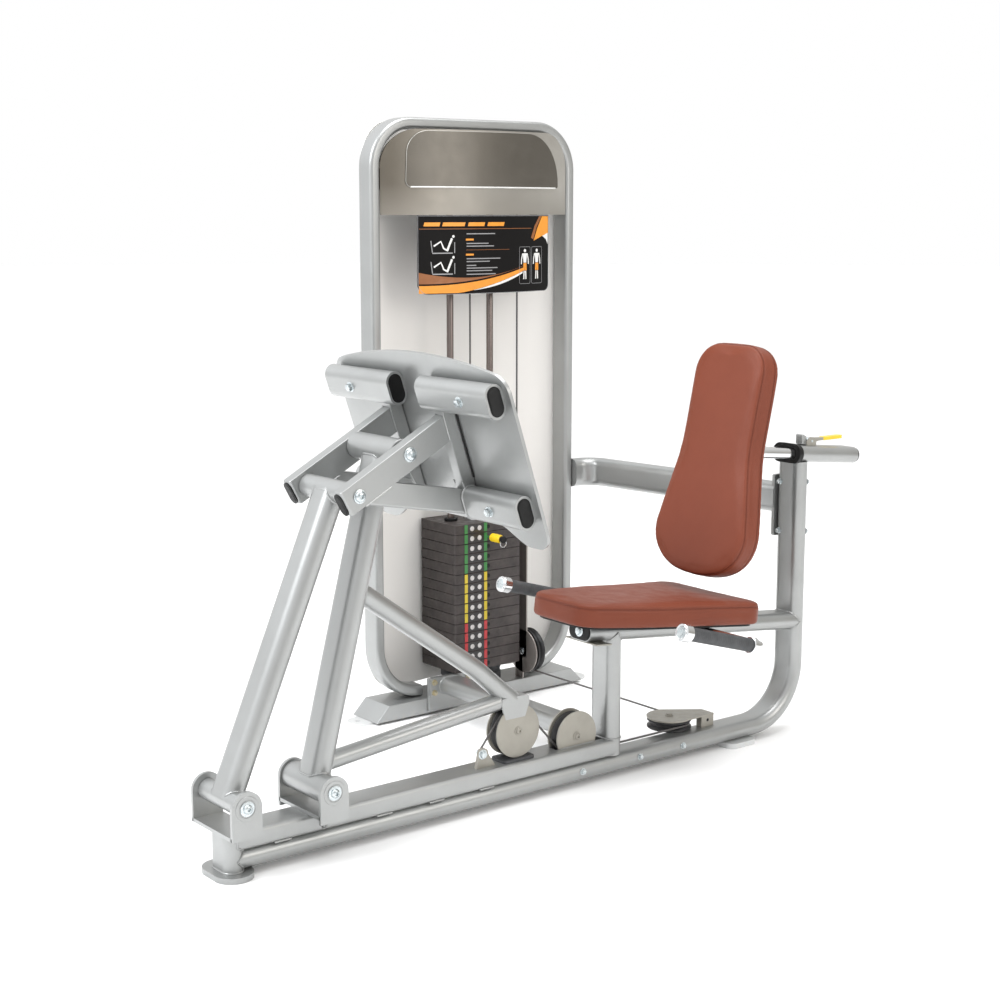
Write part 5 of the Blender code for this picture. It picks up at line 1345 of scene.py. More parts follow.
def placard():
    """The printed board: bands, bars and diagrams, with no lettering."""
    left, right, low, high = 0.968, 1.408, 1.130, 1.3346
    corners = [(left, low), (right, low), (right, high), (left, high)]
    face = filleted(corners, (0.030, 0.018, 0.001, 0.001), steps=10)
    board = bowed(face, BOW_RADIUS, BOW_RADIUS - 0.003, 0.2200, 1.188)
    piece("placard_board", board, "frame", "sign", ["placard"], 0.0006, 2)
    radius = BOW_RADIUS + 0.0004
    edge = 0.0025
    xs = [left + edge + (1.305 - left - edge) * k / 24 for k in range(25)]
    rust_low = [(x, sag(x, left, 1.34, 1.158, 1.210, 0.0150)) for x in xs]
    rust_high = [(x, sag(x, left, 1.34, 1.188, 1.212, 0.0260)) for x in xs]
    orange_high = [(x, z - 0.0045) for x, z in rust_low]
    orange_low = [(x, max(low + edge + 0.001, sag(x, left, 1.34, 1.124, 1.200, 0.0170))) for x in xs]
    tiles("placard_rust_band", [band(rust_low, rust_high)], radius, "rust")
    tiles("placard_orange_band", [band(orange_low, orange_high)], radius, "orange")
    xs = [1.130 + (1.300 - 1.130) * k / 16 for k in range(17)]
    white_high = [(x, sag(x, left, 1.34, 1.124, 1.200, 0.0170) - 0.0006) for x in xs]
    white_low = [(x, z - 0.0062 * math.sin(math.pi * min(1, (x - 1.130) / 0.22)) - 0.0004) for x,
                 z in white_high]
    tiles("placard_white_band", [band(white_low, white_high)], radius, "white")
    wedge = [(1.344, 1.2660), (1.360, 1.3010), (1.379, 1.3310), (1.4055, 1.3310), (1.4055, 1.2850),
             (1.378, 1.2780)]
    stroke = [(1.3330, 1.2740), (1.348, 1.3060), (1.367, 1.3310), (1.3765, 1.3310), (1.357, 1.3040),
              (1.3425, 1.2700)]
    shine = [(1.380, 1.2790), (1.4045, 1.2860), (1.4045, 1.2560), (1.396, 1.2700)]
    tiles("placard_orange_wedge", [wedge], radius, "orange")
    tiles("placard_rust_wedge", [stroke], radius, "rust")
    tiles("placard_white_wedge", [shine], radius, "white")
    title = []
    for start, wide in ((0.984, 0.044), (1.036, 0.066), (1.112, 0.052), (1.174, 0.056)):
        title.append([(start, 1.3060), (start + wide, 1.3060), (start + wide + 0.003, 1.3160),
                      (start + 0.003, 1.3160)])
    tiles("placard_title_bars", title, radius, "orange")
    rule = [[(0.972, 1.2985), (1.335, 1.2985), (1.335, 1.3000), (0.972, 1.3000)]]
    rule += [[(1.106, 1.2440), (1.250, 1.2440), (1.250, 1.2450), (1.106, 1.2450)]]
    tiles("placard_rules", rule, radius, "rust")
    rows = []
    for z, wide in ((1.2850, 0.092), (1.2600, 0.070), (1.2530, 0.088), (1.2205, 0.110), (1.2130, 0.074),
                    (1.2030, 0.030), (1.1960, 0.100), (1.1890, 0.082), (1.1800, 0.094)):
        rows.append([(1.108, z), (1.108 + wide, z), (1.108 + wide, z + 0.0026), (1.108, z + 0.0026)])
    tiles("placard_text_bars", rows, radius, "grey")
    heads = []
    for z in (1.2690, 1.2300):
        heads.append([(1.106, z), (1.130, z), (1.130, z + 0.0048), (1.106, z + 0.0048)])
    tiles("placard_heading_bars", heads, radius, "orange")
    white, grey = [], []
    for centre_x, centre_z in ((1.042, 1.2530), (1.042, 1.1990)):
        def stroke_at(points, width):
            return thick_line([(centre_x + x, centre_z + z) for x, z in points], width)

        legs = [(-0.030, 0.002), (-0.010, 0.014), (-0.002, -0.004), (0.010, -0.010)]
        white.append(stroke_at(legs, 0.0042))
        white.append(stroke_at([(0.008, -0.010), (0.022, 0.022)], 0.0058))
        white.append(arc((centre_x + 0.0262, centre_z + 0.0270), 0.0036, 0, 330, 11))
        grey.append(stroke_at([(-0.034, -0.016), (0.024, -0.016)], 0.0030))
        grey.append(stroke_at([(0.030, -0.016), (0.030, 0.012)], 0.0022))
        grey.append(stroke_at([(-0.038, 0.016), (-0.034, -0.014)], 0.0024))
    tiles("placard_pictograms", white, radius, "white")
    tiles("placard_machine_icons", grey, radius, "grey")
    figures()
    inside = 0.0008
    corners = [(left + inside, low + inside), (right - inside, low + inside)]
    corners += [(right - inside, high - 0.002), (left + inside, high - 0.002)]
    ring = dense_ring(filleted(corners, (0.030, 0.018, 0.001, 0.001), steps=10), 0.008)
    outline = [on_bow(x, z, BOW_RADIUS + 0.0006) for x, z in ring]
    piece("placard_trim", wire(outline, 0.0006, True, 2), "frame", "grey")


def dense_ring(points, step):
    result = []
    for here, after in zip(points, points[1:] + points[:1]):
        parts = max(1, int(math.dist(here, after) / step))
        for part in range(parts):
            share = part / parts
            result.append((here[0] + (after[0] - here[0]) * share, here[1] + (after[1] - here[1]) * share))
    return result


def figures():
    """Two plain standing figures, front and back, with the working muscles picked out."""
    white, orange, grey = [], [], []
    for x in (1.309, 1.357):
        frame_line = dense_ring(rounded(0.042, 0.098, 0.004, 3), 0.05)
        ring = [(x + px, 1.2010 + pz) for px, pz in frame_line]
        for here, after in zip(ring, ring[1:] + ring[:1]):
            if math.dist(here, after) > 1e-5:
                grey.append(thick_line([here, after], 0.0009))
        white.append(arc((x, 1.2400), 0.0045, 0, 330, 11))
        white.append([(x - 0.0080, 1.2330), (x + 0.0080, 1.2330), (x + 0.0052, 1.2080),
                      (x - 0.0052, 1.2080)])
        white.append(thick_line([(x - 0.0090, 1.2325), (x - 0.0128, 1.2180), (x - 0.0138, 1.2040)], 0.0034))
        white.append(thick_line([(x + 0.0090, 1.2325), (x + 0.0128, 1.2180), (x + 0.0138, 1.2040)], 0.0034))
        white.append(thick_line([(x - 0.0030, 1.1860), (x - 0.0042, 1.1640)], 0.0042))
        white.append(thick_line([(x + 0.0030, 1.1860), (x + 0.0042, 1.1640)], 0.0042))
        orange.append(thick_line([(x - 0.0030, 1.2070), (x - 0.0038, 1.1870)], 0.0060))
        orange.append(thick_line([(x + 0.0030, 1.2070), (x + 0.0038, 1.1870)], 0.0060))
    tiles("placard_figures", white, BOW_RADIUS + 0.0004, "white")
    tiles("placard_muscles", orange, BOW_RADIUS + 0.0006, "orange")
    tiles("placard_figure_frames", grey, BOW_RADIUS + 0.0004, "grey")


def placard_brackets():
    for index, x in enumerate((1.015, 1.351)):
        strip = box((x - 0.012, 0.6640, 1.300), (x + 0.012, 0.6665, 1.3740))
        piece("placard_bracket_%d" % index, strip, "frame", "plastic", (), 0.0004, 2)


def rear_panel():
    """The bowed frosted sheet at the back."""
    sagitta = 0.0744
    half = LOOP_HALF + 0.015 - 0.006
    radius = (half**2 + sagitta**2) / (2 * sagitta)
    centre = (TOWER_X, 0.830 - radius)
    reach = math.degrees(math.asin(half / radius))
    outer = arc(centre, radius, 90 - reach, 90 + reach, 44)
    inner = arc(centre, radius - 0.004, 90 + reach, 90 - reach, 44)
    low = 0.0530
    high = LOOP_TOP + 0.015 - 0.006
    corners = [(TOWER_X - half, low), (TOWER_X + half, low), (TOWER_X + half, high), (TOWER_X - half, high)]
    face = filleted(corners, (0.144, 0.144, 0.124, 0.124), steps=18)
    cutter = prism(face, 0.4, move(0.0, 0.9556, 0.0) @ ALONG_XZ)
    sheet = apply_boolean(prism(outer + inner, 1.7, move(z=0.8)), [cutter], "INTERSECT")
    piece("rear_panel", sheet, "frame", "panel", ["rear_shroud"], 0.0010, 2)


def guide_rods():
    """The two rods with bumpers, a yoke and collars."""
    for side, tag in ((-1, "left"), (1, "right")):
        at = (TOWER_X + side * ROD_OFFSET, STACK_Y, 0.7145)
        nodes = ["guide_rods"] if side < 0 else ()
        piece("guide_rod_" + tag, rod(at, ROD_RADIUS, 1.3316, FLAT, 48), "frame", "rod", nodes)
        low, high = BASE_TOP + 0.0003, STACK_LOW - 0.0003
        outline = [(0.0098, high), (0.0265, high), (0.0292, high - 0.0025), (0.0300, high - 0.006)]
        outline += [(0.0300, high - 0.022), (0.0278, high - 0.025), (0.0278, high - 0.031),
                    (0.0300, high - 0.034)]
        outline += [(0.0300, low + 0.003), (0.0285, low), (0.0098, low)]
        rubber = turned(outline, move(TOWER_X + side * ROD_OFFSET, STACK_Y, 0.0), 56, True)
        piece("rod_bumper_" + tag, rubber, "frame", "rubber", ["bumper_" + tag])
    yoke = prism(rounded(0.186, 0.027, 0.006, 5), 0.0265, move(TOWER_X, STACK_Y, 1.38525),
                 [arc((0, 0), 0.010, 0, 350, 24)])
    zinced("rod_yoke", yoke, "frame", (), 0.0012)
    for side, tag in ((-1, "left"), (1, "right")):
        collar = ring_part((TOWER_X + side * ROD_OFFSET, STACK_Y, 1.3640), 0.0093, 0.0160, 0.014, FLAT, 48,
                           0.001)
        zinced("rod_collar_" + tag, collar, "frame")


def one_plate(low, high):
    """One weight plate: round-cornered slab with a relieved edge and its two rod holes."""
    outline = rounded(2 * STACK_HALF_X, 2 * STACK_HALF_Y, 0.006, 5)
    holes = [[(side * ROD_OFFSET + x, y) for x, y in arc((0, 0), 0.0104, 0, 350, 28)] for side in (-1, 1)]
    return prism(outline, high - low, move(TOWER_X, STACK_Y, (low + high) / 2), holes)


def weight_stack():
    """Fifteen plates, the selector rod, and what is on the top plate."""
    for index in range(STACK_PLATES):
        low = STACK_LOW + index * STACK_PITCH + 0.0006
        high = STACK_LOW + (index + 1) * STACK_PITCH - 0.0006
        body = "stack" if index > 12 else "frame"
        if index == 13:
            low += 0.0003
        nodes = {0: ["stack_plates"], 14: ["lifted_plates"]}.get(index, ())
        piece("weight_plate_%02d" % (index + 1), one_plate(low, high), body, "iron", nodes,
              0.0016, 3)
    top = STACK_TOP
    stem = [(0.0, top + 0.0348), (0.0080, top + 0.0348), (0.0090, top + 0.0330), (0.0090, top + 0.0200)]
    stem += [(0.0110, top + 0.0190), (0.0110, top + 0.0035), (0.0165, top + 0.0030), (0.0165, top - 0.0008),
             (0.0, top - 0.0008)]
    zinced("stack_stem", turned(stem, move(TOWER_X, STACK_Y, 0.0), 48), "stack")
    for side, tag in ((-1, "left"), (1, "right")):
        collar = ring_part((TOWER_X + side * ROD_OFFSET, STACK_Y, top + 0.0040), 0.0098, 0.0185, 0.008,
                           FLAT, 48, 0.0012)
        plastic_piece("top_plate_bush_" + tag, collar, "stack")
    selector = rod((TOWER_X, STACK_Y, 0.300), 0.0105, 0.360, FLAT, 40)
    piece("selector_rod", selector, "stack", "rod")
    stack_labels()


def stack_labels():
    """A label strip on the front faces: two white dots a row and coloured tabs at each side."""
    y = STACK_Y - STACK_HALF_Y
    for index in range(STACK_PLATES):
        body = "stack" if index > 12 else "frame"
        z = STACK_LOW + (index + 0.5) * STACK_PITCH
        row = 14 - index
        tab = "green" if row < 5 else ("amber" if row < 10 else "red")
        name = "label_%02d" % (index + 1)
        slip = prism(rounded(0.075, 0.0226, 0.0012, 3), 0.0005, move(LABEL_X, y - 0.0002, z) @ AXIS_Y)
        piece(name, slip, body, "label")
        dots = [rod((LABEL_X + side * 0.0125, y - 0.0006, z), 0.0068, 0.0006, AXIS_Y, 28,
                    0.0002) for side in (-1, 1)]
        piece(name + "_dots", dots, body, "dots")
        tabs = [box((LABEL_X + s * 0.0330 - 0.0050, y - 0.0010, z - 0.0120),
                    (LABEL_X + s * 0.0330 + 0.0050, y - 0.0003, z + 0.0120)) for s in (-1, 1)]
        piece(name + "_tabs", tabs, body, tab)
        # painted shade: a thin black disc on each plate but the pinned one stands for the dark inside of its
        # pin bore
        if index != 13:
            core = rod((TOWER_X, y + 0.0001, z), 0.0060, 0.0010, AXIS_Y, 24, 0.0002)
            plastic_piece("pin_bore_shade_%02d" % (index + 1), core, body)


def selector_pin():
    """The yellow pin with its ring."""
    at = Matrix.Translation((TOWER_X, 0.650, PIN_Z)) @ AXIS_Y
    grip = [(0.0, 0.0585), (0.0080, 0.0585), (0.0100, 0.0575), (0.0112, 0.0540), (0.0116, 0.0480)]
    grip += [(0.0104, 0.0440), (0.0116, 0.0400), (0.0120, 0.0340), (0.0106, 0.0300), (0.0118, 0.0250),
             (0.0110, 0.0195), (0.0090, 0.0180), (0.0, 0.0180)]
    piece("selector_grip", turned(grip, at, 48), "selector", "yellow", ["selector_pin"])
    end = [(0.0, 0.0700), (0.0086, 0.0700), (0.0096, 0.0690), (0.0096, 0.0600), (0.0080, 0.0584),
           (0.0, 0.0584)]
    plastic_piece("selector_button", turned(end, at, 40), "selector")
    shaft = [(0.0, 0.0182), (0.0050, 0.0182), (0.0050, -0.0590), (0.0030, -0.0625), (0.0, -0.0630)]
    chromed("selector_shaft", turned(shaft, at, 32), "selector")
    ring = [(TOWER_X + 0.0100 * math.cos(a), 0.5840, PIN_Z - 0.0100 + 0.0100 * math.sin(a))
            for a in [2 * math.pi * k / 36 for k in range(36)]]
    chromed("selector_ring", wire(ring, 0.0010, True, 3), "selector")


# ---------------------------------------------------------------- pulleys
def pulley(name, wheel, matrix, body, node):
    centre, groove = wheel
    half = 0.0115
    rim = groove + 0.006
    floor = groove - CABLE - 0.0012
    outline = [(0.0067, half - 0.001), (0.0075, half), (0.0150, half), (0.0165, half - 0.0030)]
    outline += [(rim - 0.0150, half - 0.0034), (rim - 0.0130, half), (rim - 0.0010, half),
                (rim, half - 0.0010)]
    outline += [(rim, 0.0078), (rim - 0.0008, 0.0068), (floor + 0.0010, 0.0034), (floor, 0.0022)]
    outline += [(r, -z) for r, z in reversed(outline)]
    solid = turned(outline, Matrix.Translation(centre) @ matrix, 88, True)
    piece(name, solid, body, "nylon", [node])
    bearing = ring_part(centre, 0.0067, 0.0125, 2 * half + 0.0008, matrix, 48, 0.0008)
    zinced(name + "_bearing", bearing, body)


def pulleys():
    """Every pulley wheel on its own body."""
    pulley("lever_wheel_disc", LEVER_PULLEY, AXIS_Y, "lever_wheel", "lever_pulley")
    pulley("rail_wheel_disc", RAIL_PULLEY, AXIS_Y, "rail_wheel", "rail_pulley")
    pulley("floor_wheel_disc", FLOOR_PULLEY, FLAT, "floor_wheel", "floor_pulley")
    pulley("base_wheel_disc", BASE_PULLEY, AXIS_X, "base_wheel", "base_pulley")
    pulley("top_wheel_a_disc", TOP_PULLEY_A, AXIS_Y, "top_wheel_a", "top_pulley_a")
    pulley("top_wheel_b_disc", TOP_PULLEY_B, AXIS_Y, "top_wheel_b", "top_pulley_b")


def rail_bracket():
    centre = RAIL_PULLEY[0]
    low = BEAM_TOP
    radius = 0.060
    start = math.degrees(math.asin((low - centre.z) / radius))
    outline = arc((centre.x, centre.z), radius, start, 180 - start, 60)
    for side, tag in ((-1, "right"), (1, "left")):
        nodes = ["rail_pulley_bracket"] if side < 0 else ()
        solid = prism(outline, 0.004, move(y=side * 0.0166) @ ALONG_XZ)
        satin_piece("rail_guard_" + tag, solid, "frame", nodes, 0.0010)
        turn = AXIS_Y if side < 0 else TO_PLUS_Y
        bolt = dome_bolt(centre + Vector((0, side * 0.0186, 0)), turn, 0.0080, 0.0042, 0.0110)
        piece("rail_axle_" + tag, bolt, "frame", "disc")
        seam = [(centre.x + 0.052 * (k / 12 * 2 - 1), side * 0.0190, low + 0.0006) for k in range(13)]
        painted("weld_rail_guard_" + tag, wire(seam, 0.0018, False, 3), "frame")


def floor_bracket():
    centre = FLOOR_PULLEY[0]
    high = CABLE_Z + 0.0115 + 0.0015
    top = arc((centre.x, centre.y), 0.057, 70, 290, 44)
    outline = [*top, (1.400, centre.y - 0.0536), (1.400, centre.y - 0.0100)]
    satin_piece("floor_guard_top", prism(outline, 0.004, move(z=high + 0.002)), "frame",
                ["floor_pulley_bracket"], 0.0010)
    low = box((1.357, -0.0036, RAIL_TOP - 0.001), (1.400, 0.0160, high + 0.003))
    satin_piece("floor_guard_post", low, "frame", (), 0.0018)
    # painted shade: a thin black disc stands for the dark inside of a hole in the guard post
    plastic_piece("floor_guard_hole_shade", rod((1.3785, -0.0034, 0.0745), 0.0042, 0.0012, AXIS_Y, 24), "frame")
    bolt = hex_bolt((centre.x, centre.y, high + 0.004), FLAT, 0.0080, 0.0032, 0.0105)
    piece("floor_axle_bolt", bolt, "frame", "disc")


def base_bracket():
    centre = BASE_PULLEY[0]
    middle = 1.3290 - 0.0045
    guard_disc("base_guard_disc", Vector((middle, centre.y, centre.z)), AXIS_X, 0.0625, 0.004, "frame",
               "guard", ["base_pulley_bracket"])
    strip = prism(rounded(0.050, 0.490, 0.006, 4), 0.004, move(middle, 0.6810, 0.355) @ ALONG_YZ)
    piece("base_guard_strip", strip, "frame", "guard", (), 0.0010)
    foot = box((middle - 0.002, 0.6720, BASE_TOP), (middle + 0.002, 0.7060, 0.130))
    piece("base_guard_foot", foot, "frame", "guard", (), 0.0010)
    axle = hex_bolt((middle - 0.002, centre.y, centre.z), TO_MINUS_X, 0.0070, 0.0030, 0.0100)
    zinced("base_axle_bolt", axle, "frame")
    chromed("base_axle", rod((1.3400, centre.y, centre.z), 0.0060, 0.0360, AXIS_X, 32), "frame")


def top_beam():
    half = LOOP_HALF - 0.0156
    left, right = TOWER_X - half, TOWER_X + half
    parts = []
    for low, high in ((0.7060, 0.7120), (0.7460, 0.7520)):
        parts.append(box((left, low, 1.402), (right, high, 1.452)))
    parts.append(box((left, 0.7060, 1.399), (left + 0.03, 0.7520, 1.452)))
    parts.append(box((right - 0.03, 0.7060, 1.399), (right, 0.7520, 1.452)))
    parts.append(box((1.255, 0.7060, 1.3990), (1.273, 0.7520, 1.4080)))
    parts.append(box((1.093, 0.7060, 1.3990), (1.130, 0.7520, 1.4080)))
    painted("top_beam_plates", parts, "frame", ["top_pulley_beam"], 0.0010, 2)
    for wheel, tag in ((TOP_PULLEY_A, "a"), (TOP_PULLEY_B, "b")):
        axle = rod(wheel[0], 0.0060, 0.050, AXIS_Y, 32)
        near = hex_bolt(wheel[0] + Vector((0, -0.0230, 0)), AXIS_Y, 0.0075, 0.0045, 0.0100)
        zinced("top_axle_" + tag, [axle, near], "frame")


def small_fittings():
    low = BEAM_TOP
    outline = [(0.634, low), (0.688, low), (0.668, 0.128), *arc((0.655, 0.130), 0.013, 0, 180, 18)]
    satin_piece("anchor_plate", prism(outline, 0.010, move(y=-0.0090) @ ALONG_XZ), "frame", ["anchor_lug"],
                0.0012)
    bolt = hex_bolt((0.651, -0.0140, 0.130), AXIS_Y, 0.0085, 0.0055, 0.0115)
    zinced("anchor_bolt", bolt, "frame")
    pad = prism(rounded(0.090, 0.056, 0.010, 6), 0.0065, move(0.750, 0.0, low + 0.0033))
    piece("lever_stop_pad", pad, "frame", "rubber", ["lever_bumper"], 0.0018)
    eye = ring_part((0.651, 0.0, 0.132), 0.0034, 0.0062, 0.0060, AXIS_Y, 32, 0.0006)
    zinced("cable_eye", eye, "frame")


# ---------------------------------------------------------------- cable
def tangent(point, wheel, side):
    centre = Vector((wheel[0].x, wheel[0].z))
    away = Vector(point) - centre
    return math.atan2(away.y, away.x) + side * math.acos(wheel[1] / away.length)


def crossed_tangent(first, second):
    way = Vector((second[0].x - first[0].x, second[0].z - first[0].z))
    base = math.atan2(way.y, way.x)
    spread = math.acos((first[1] + second[1]) / way.length)
    return base + spread, base + spread + math.pi


def wheel_points(wheel, start, end, steps):
    return arc((wheel[0].x, wheel[0].z), wheel[1], start, end, steps)


def even(points, step):
    """The same line with points at even steps, ends included."""
    result = [Vector(points[0])]
    for here, after in zip(points, points[1:]):
        here, after = Vector(here), Vector(after)
        parts = max(1, round((after - here).length / step))
        result += [here.lerp(after, k / parts) for k in range(1, parts + 1)]
    return result


def cables():
    """The steel cable, in lengths; only the loop over the lever pulley rides on the rear arm."""
    leave, meet = crossed_tangent(LEVER_PULLEY, RAIL_PULLEY)
    start = math.degrees(tangent((CABLE_ANCHOR.x, CABLE_ANCHOR.z), LEVER_PULLEY, -1))
    if start < 0:
        start += 360
    over = wheel_points(LEVER_PULLEY, start, math.degrees(leave), 44)
    meet_at = math.degrees(meet)
    arrive = wheel_points(RAIL_PULLEY, meet_at, meet_at + 1, 1)
    press = [(CABLE_ANCHOR.x, 0.0, CABLE_ANCHOR.z)]
    press += [(x, 0.0, z) for x, z in over]
    press.append((arrive[0][0], 0.0, arrive[0][1]))
    cut_in, cut_out = 1, 1 + len(over)
    feed = even([press[0], press[cut_in]], 0.006)
    leave_line = even([press[cut_out - 1], press[cut_out]], 0.006)
    bent = piece("press_cable_feed", wire(feed, CABLE, False, 4), None, "cable",
                 ["cable_press"])
    BLENDS.append((bent, "frame", "rear_arm", feed[0], feed[-1]))
    piece("press_cable_loop", wire(press[cut_in:cut_out], CABLE, False, 4), "rear_arm",
          "cable")
    bent = piece("press_cable_return", wire(leave_line, CABLE, False, 4), None, "cable")
    BLENDS.append((bent, "rear_arm", "frame", leave_line[0], leave_line[-1]))
    under = wheel_points(RAIL_PULLEY, meet_at, 270, 28)
    run = [(x, 0.0, z) for x, z in under]
    floor = FLOOR_PULLEY[0]
    turn = arc((floor.x, floor.y), FLOOR_PULLEY[1], -90, 0, 26)
    run += [(x, y, CABLE_Z) for x, y in turn]
    base = BASE_PULLEY[0]
    run += [(base.x, y, z) for y, z in arc((base.y, base.z), BASE_PULLEY[1], 270, 360, 26)]
    run += [(x, STACK_Y, z) for x, z in wheel_points(TOP_PULLEY_A, 0, 90, 22)]
    run += [(x, STACK_Y, z) for x, z in wheel_points(TOP_PULLEY_B, 90, 180, 22)]
    piece("tower_cable", wire(run, CABLE, False, 4), "frame", "cable", ["cable_run"])
    top = TOP_PULLEY_B[0].z
    low = STACK_TOP + 0.0340
    hang = even([(TOWER_X, STACK_Y, top), (TOWER_X, STACK_Y, low)], 0.010)
    cord = piece("stack_cable", wire(hang, CABLE, False, 4), "frame", "cable",
                 ["cable_stack"])
    keep = 1 - LIFT / (top - low)
    SQUASHES.append((cord, "weight_lift", (0, 0, 1), Vector((TOWER_X, STACK_Y, top)) - MID, keep))
    ferrule = rod((TOWER_X, STACK_Y, low + 0.014), 0.0050, 0.026, FLAT, 32, 0.001)
    zinced("cable_ferrule", ferrule, "stack")


# ---------------------------------------------------------------- upholstery
def seat_plan(inset=0.0):
    """The outline of the seat: narrow and round in front, wide at the back."""
    front = 0.102 - inset
    rear = 0.169 - inset
    corners = [(inset, -front), (0.16, -0.138 + inset), (0.531 - inset, -rear)]
    corners += [(0.531 - inset, rear), (0.16, 0.138 - inset), (inset, front)]
    return filleted(corners, (0.055, 0.25, 0.036, 0.036, 0.25, 0.055), steps=10)


def back_plan(inset=0.0):
    """Half the outline, top to bottom: a rounded head, a slight waist, and a wide round foot."""
    half = [(0.2720 - inset, 0.0), (0.2720 - inset, 0.1150 - inset), (0.000, 0.1180 - inset)]
    half += [(-0.150, 0.1480 - inset), (-0.195, 0.1550 - inset)]
    half = filleted(half, (0, 0.072, 0.40, 0.15, 0), closed=False, steps=12)[1:-1]
    for step in range(25):
        turn = math.radians(90 * step / 24)
        up = -0.195 - (0.1135 - inset) * math.sin(turn) ** 0.92
        half.append((up, (0.1555 - inset) * math.cos(turn) ** 0.85))
    half.append((0.2720 - inset, 0.0))
    half = [half[-1]] + half[:-1]
    return distinct([(up, -across) for up, across in half] + half[-2:0:-1])


def seat_place(up):
    start = Vector((0.870, 0.0, SEAT_BEAM_AT.z + (1.052 - 0.870) * math.tan(SEAT_SLOPE)))
    return slope(start, SEAT_SLOPE) @ move(z=0.0225 + up)


def pad_blank(plan, rings, crown):
    """A pad in its own frame (z up from its flat base): stacked outlines, then a crowned top."""
    base = [Vector(p) for p in dense_ring(plan(0.0), 0.012)]
    centre = sum(base, Vector((0, 0))) / len(base)
    work = bmesh.new()
    loops = []
    for inset, height in rings:
        ring = []
        for point in base:
            away = point - centre
            spot = centre + away * (1 - inset / away.length)
            ring.append(work.verts.new((spot.x, spot.y, height)))
        loops.append(ring)
    top = rings[-1][1]
    for share in (0.80, 0.60, 0.40, 0.20):
        ring = []
        for vert in loops[len(rings) - 1]:
            spot = centre.lerp(Vector((vert.co.x, vert.co.y)), share)
            ring.append(work.verts.new((spot.x, spot.y, top + crown * (1 - share**2.6))))
        loops.append(ring)
    peak = work.verts.new((centre.x, centre.y, top + crown))
    bottom = work.verts.new((centre.x, centre.y, rings[0][1]))
    count = len(base)
    for lower, upper in zip(loops, loops[1:]):
        for index in range(count):
            after = (index + 1) % count
            work.faces.new((lower[index], lower[after], upper[after], upper[index]))
    for index in range(count):
        after = (index + 1) % count
        work.faces.new((loops[-1][index], loops[-1][after], peak))
        work.faces.new((loops[0][after], loops[0][index], bottom))
    return mesh_of(work)


def run_modifiers(obj):
    """Applies an object's modifiers."""
    graph = bpy.context.evaluated_depsgraph_get()
    graph.update()
    made = bpy.data.meshes.new_from_object(obj.evaluated_get(graph))
    obj.modifiers.clear()
    obj.data = made
    return made


def swell(mesh, pin_below, cap, pressure=4.0):
    """Cloth under pressure, with its base held, and each point's travel capped and evened out."""
    obj = bpy.data.objects.new("pad_sim", mesh)
    bpy.context.scene.collection.objects.link(obj)
    remesh = obj.modifiers.new("Remesh", "REMESH")
    remesh.mode = "VOXEL"
    remesh.voxel_size = 0.0042
    run_modifiers(obj)
    rest = np.array([v.co for v in obj.data.vertices])
    group = obj.vertex_groups.new(name="hold")
    held = [v.index for v in obj.data.vertices if v.co.z < pin_below]
    group.add(held, 1.0, "REPLACE")
    cloth = obj.modifiers.new("Cloth", "CLOTH")
    cloth.settings.quality = 4
    cloth.settings.mass = 0.25
    cloth.settings.tension_stiffness = 28
    cloth.settings.compression_stiffness = 28
    cloth.settings.shear_stiffness = 18
    cloth.settings.bending_stiffness = 3.0
    cloth.settings.use_pressure = True
    cloth.settings.uniform_pressure_force = pressure
    cloth.settings.vertex_group_mass = "hold"
    cloth.settings.effector_weights.gravity = 0.0
    cloth.collision_settings.use_collision = False
    cloth.point_cache.frame_start = 1
    cloth.point_cache.frame_end = 20
    scene = bpy.context.scene
    for step in range(1, 21):
        scene.frame_set(step)
    run_modifiers(obj)
    scene.frame_set(1)
    travel = np.array([v.co for v in obj.data.vertices]) - rest
    edges = np.zeros(len(obj.data.edges) * 2, np.int32)
    obj.data.edges.foreach_get("vertices", edges)
    edges = edges.reshape(-1, 2)
    count = np.bincount(edges.ravel(), minlength=len(rest))[:, None]
    for _ in range(14):
        total = np.zeros_like(travel)
        np.add.at(total, edges[:, 0], travel[edges[:, 1]])
        np.add.at(total, edges[:, 1], travel[edges[:, 0]])
        travel = 0.4 * travel + 0.6 * total / np.maximum(count, 1)
    length = np.linalg.norm(travel, axis=1)
    share = cap * np.tanh(length / cap) / np.maximum(length, 1e-9)
    final = rest + travel * share[:, None]
    obj.data.vertices.foreach_set("co", final.astype(np.float32).ravel())
    smooth = obj.modifiers.new("Smooth", "SMOOTH")
    smooth.factor = 0.5
    smooth.iterations = 4
    run_modifiers(obj)
    finer = obj.modifiers.new("Subsurf", "SUBSURF")
    finer.levels = 1
    finer.render_levels = 1
    run_modifiers(obj)
    made = obj.data
    bpy.data.objects.remove(obj)
    return made


def carve_seams(mesh, lines, deep=0.0011, wide=0.0034):
    """Presses narrow valleys into the cover along closed lines of points, with soft shoulders."""
    spots = np.concatenate([np.array(line) for line in lines])
    co = np.array([v.co for v in mesh.vertices])
    normal = np.array([v.normal for v in mesh.vertices])
    low, high = spots.min(0) - 0.02, spots.max(0) + 0.02
    near = np.where(((co > low) & (co < high)).all(1))[0]
    tree = kd_tree(spots)
    for index in near:
        distance = tree.find(Vector(co[index]))[2]
        if distance < wide * 3:
            press = math.exp(-((distance / wide) ** 2)) * deep
            puff = math.exp(-(((distance - wide * 1.9) / (wide * 0.9)) ** 2)) * deep * 0.35
            co[index] += normal[index] * (puff - press)
    mesh.vertices.foreach_set("co", co.astype(np.float32).ravel())
    mesh.update()


def kd_tree(points):
    tree = KDTree(len(points))
    for index, point in enumerate(points):
        tree.insert(Vector(point), index)
    tree.balance()
    return tree


